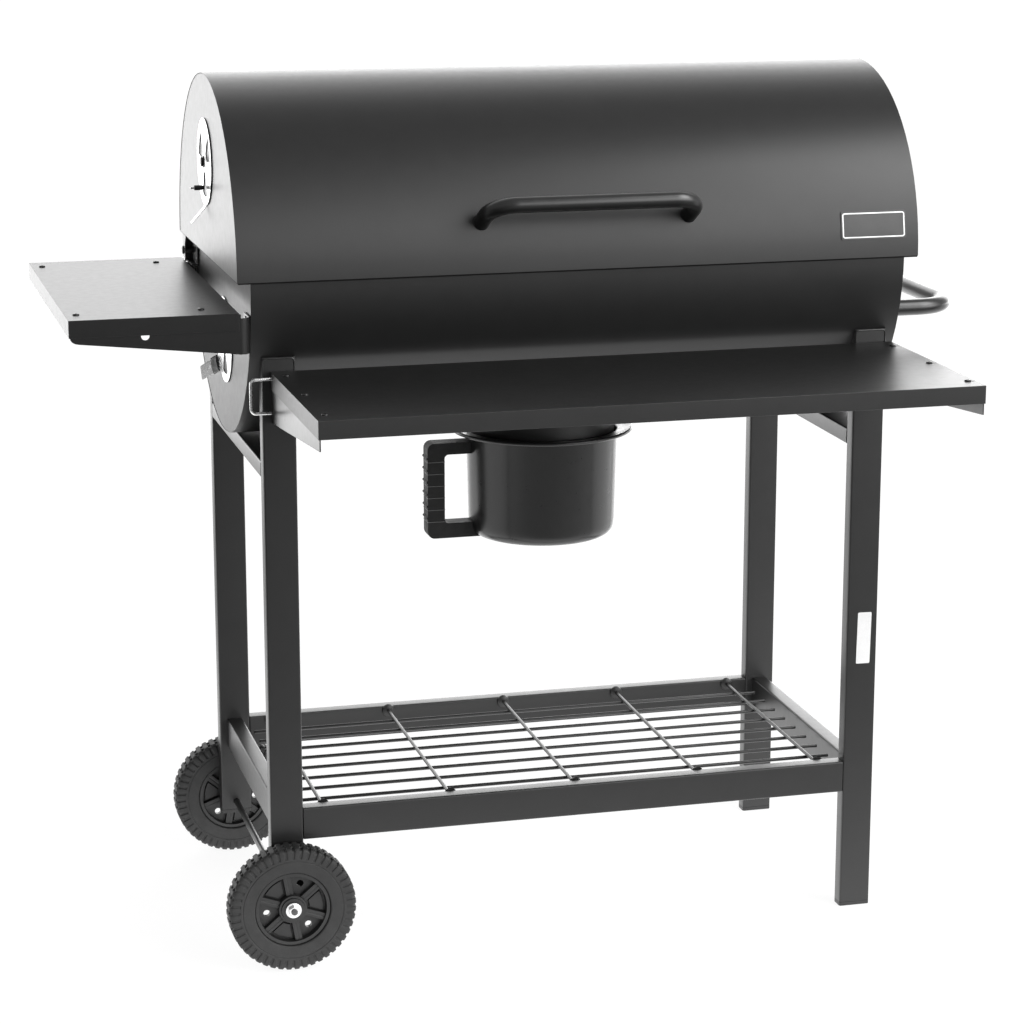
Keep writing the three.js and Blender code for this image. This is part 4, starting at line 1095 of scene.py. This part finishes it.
def build_bolts():
    """Bolt heads that fasten the side shelf's brackets to the bowl's end."""
    bolt = bolt_mesh()
    outwards = (-AXIS_X).to_track_quat("Z", "Y").to_matrix().to_4x4()
    spots = []
    for end, back in (("front", 1), ("rear", -1)):
        low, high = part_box(f"side_bracket_{end}")
        y = (high.y if back > 0 else low.y) - back * 14 * MM
        spots += [Vector((high.x - 1.5 * MM, y, low.z + rise * MM)) for rise in BOLT_RISES]
    for i, spot in enumerate(spots):
        copy = bolt.copy()
        copy.transform(Matrix.Translation(spot) @ outwards @ Matrix.Rotation(0.4 * i, 4, "Z"))
        piece(f"bracket_bolt_{i}", copy, SCREW, "stand", bevel=0.35 * MM)


# ---- camera, lights and floor

CAMERA_LENS = 103.70
CAMERA_SENSOR = 36
CAMERA_PLACE = Vector((-0.95773, -3.50517, 1.37516))  # from the middle of the stance, metres
CAMERA_DOWN = 13.6703  # degrees below the horizon
CAMERA_ASIDE = 14.7626  # degrees from straight ahead
WORLD_BASE = 0.46
WORLD_LOBES = (  # (towards, start, full, strength)
    ((-0.05, 0.97, 0.05), 0.38, 0.95, 1.85),
    ((0.58, 0.80, 0.13), 0.88, 0.98, 3.4),
    ((0.66, -0.72, 0.2), 0.78, 1.0, 5.2),
    ((-0.4, 0.9, -0.05), 0.9, 0.98, 0.8),
    ((0.08, 0.96, 0.2), 0.955, 0.995, 1.3),
)
SOFTBOX_AIM = Vector((0, 0, 0.8))
SOFTBOX_REACH = Vector((1.6, -1.2, 1.6))  # from its aim to the lamp
SOFTBOX_SIZE = 1.4
SOFTBOX_POWER = 40
WHITE = (1, 1, 1, 1)
FLOOR_HALF = 40  # metres
FLOOR_DEPTH = 0.5 * MM  # of the floor under the tyres


def build_camera():
    camera = placed("camera", bpy.data.cameras.new("camera"))
    camera.data.sensor_width = CAMERA_SENSOR
    camera.data.lens = CAMERA_LENS
    camera.location = STANCE + CAMERA_PLACE
    camera.rotation_euler = (math.radians(90 - CAMERA_DOWN), 0, math.radians(-CAMERA_ASIDE))
    camera.data.clip_end = 200
    bpy.context.scene.camera = camera


def show(n, output, reflected, seen):
    """Ends a node tree with one shader for reflections and light, another for the camera."""
    camera = n.add("ShaderNodeLightPath").outputs["Is Camera Ray"]
    both = n.add("ShaderNodeMixShader", {
        0: camera, 1: reflected.outputs[0], 2: seen.outputs[0]})
    n.add(output, {"Surface": both.outputs[0]})


def build_world():
    """Studio surroundings: bright behind and above, dimmer in front on the left. The camera
    itself sees plain white."""
    world = bpy.data.worlds.new("studio")
    bpy.context.scene.world = world
    n = emptied(world)
    direction = n.add("ShaderNodeTexCoord").outputs["Generated"]
    total = WORLD_BASE
    for towards, start, full, strength in WORLD_LOBES:
        way = Vector(towards).normalized()
        facing = n.add("ShaderNodeVectorMath", {0: direction, 1: way}, operation="DOT_PRODUCT")
        total = n.math("ADD", total, n.ease(facing.outputs["Value"], start, full, strength))
    light = n.add("ShaderNodeBackground", {"Color": WHITE, "Strength": total})
    white = n.add("ShaderNodeBackground", {"Color": WHITE, "Strength": 1.0})
    show(n, "ShaderNodeOutputWorld", light, white)


def floor_glow(n):
    """How bright the floor is in reflections: dim in front and close by on both sides, and
    brighter in bands behind the grill and far off on the right in front."""
    place = n.add("ShaderNodeTexCoord").outputs["Object"]
    split = n.add("ShaderNodeSeparateXYZ", {"Vector": place})
    x, y = split.outputs["X"], split.outputs["Y"]
    shade = n.math("MULTIPLY", n.ease(y, 0.9, 1.4, -1.1), n.ease(x, 0.1, -0.7, 1.0))
    glow = n.math("ADD", n.math("ADD", n.ease(y, -1.1, -0.2, 1.5), 0.40), shade)
    for start, end, strength in ((2.5, 3.25, 2.6), (1.7, 2.3, 0.5)):
        glow = n.math("ADD", glow, n.ease(y, start, end, strength))
    right = n.math("MULTIPLY", n.ease(x, 1.0, 2.2, 1.6), n.ease(y, -1.2, -2.6, 1.0))
    glow = n.math("ADD", glow, right)
    sides = n.math("ADD", n.ease(x, -0.9, -1.7, -1.2), n.ease(x, 0.9, 1.7, -0.8))
    glow = n.math("ADD", glow, n.math("MULTIPLY", sides, n.ease(y, 1.2, 0.5, 1.0)))
    return n.math("MAXIMUM", glow, 0.1)


def build_floor():
    """A wide white floor, evenly lit to the camera and uneven in the grill's reflections."""
    corners = [Vector((x, y, 0)) * FLOOR_HALF for x, y in ((-1, -1), (1, -1), (1, 1), (-1, 1))]
    mesh = mesh_of("floor", corners, [(0, 1, 2, 3)])
    floor = placed("floor", mesh)
    floor.location = STANCE - AXIS_Z * FLOOR_DEPTH
    material = bpy.data.materials.new("studio_floor")
    n = emptied(material)
    lit = n.add("ShaderNodeEmission", {"Color": WHITE, "Strength": floor_glow(n)})
    matt = n.add("ShaderNodeBsdfDiffuse", {"Color": (0.14, 0.14, 0.14, 1)})
    white = n.add("ShaderNodeEmission", {"Color": WHITE, "Strength": 0.9})
    plain = n.add("ShaderNodeAddShader", {0: matt.outputs[0], 1: white.outputs[0]})
    show(n, "ShaderNodeOutputMaterial", lit, plain)
    mesh.materials.append(material)


def build_softbox():
    """A square lamp in front on the right, turned towards the barrel."""
    lamp = bpy.data.lights.new("right_softbox", "AREA")
    lamp.shape = "RECTANGLE"
    lamp.size = lamp.size_y = SOFTBOX_SIZE
    lamp.energy = SOFTBOX_POWER
    made = placed("right_softbox", lamp)
    made.location = STANCE + SOFTBOX_AIM + SOFTBOX_REACH
    made.rotation_euler = (-SOFTBOX_REACH).to_track_quat("-Z", "Y").to_euler()
    made.visible_camera = False


def build_studio():
    settings = bpy.context.scene.view_settings
    settings.view_transform = "Standard"
    settings.look = "None"
    build_camera()
    build_world()
    build_floor()
    build_softbox()


# ---- assembly

def main():
    build_wheels()
    build_cup()
    build_lid_handle()
    build_carry_handle()
    build_lid_shade_strips()
    build_leg_rims()
    build_hinge_pins()
    build_hook()
    build_rack()
    build_damper("lid", "lid_vent", turn=-90, lean=42, length=27, width=12, corner=3)
    build_damper("bowl", "bowl_vent", turn=-41, lean=38, length=33, width=20, corner=2,
                 hole_at=19, coil=(3, 13))
    build_badge()
    build_label()
    build_screws()
    build_keyhole_shades()
    build_bolts()
    for node, made in NODES.items():
        if not made.hide_render and not made.modifiers:
            dress(node)
    build_studio()


main()
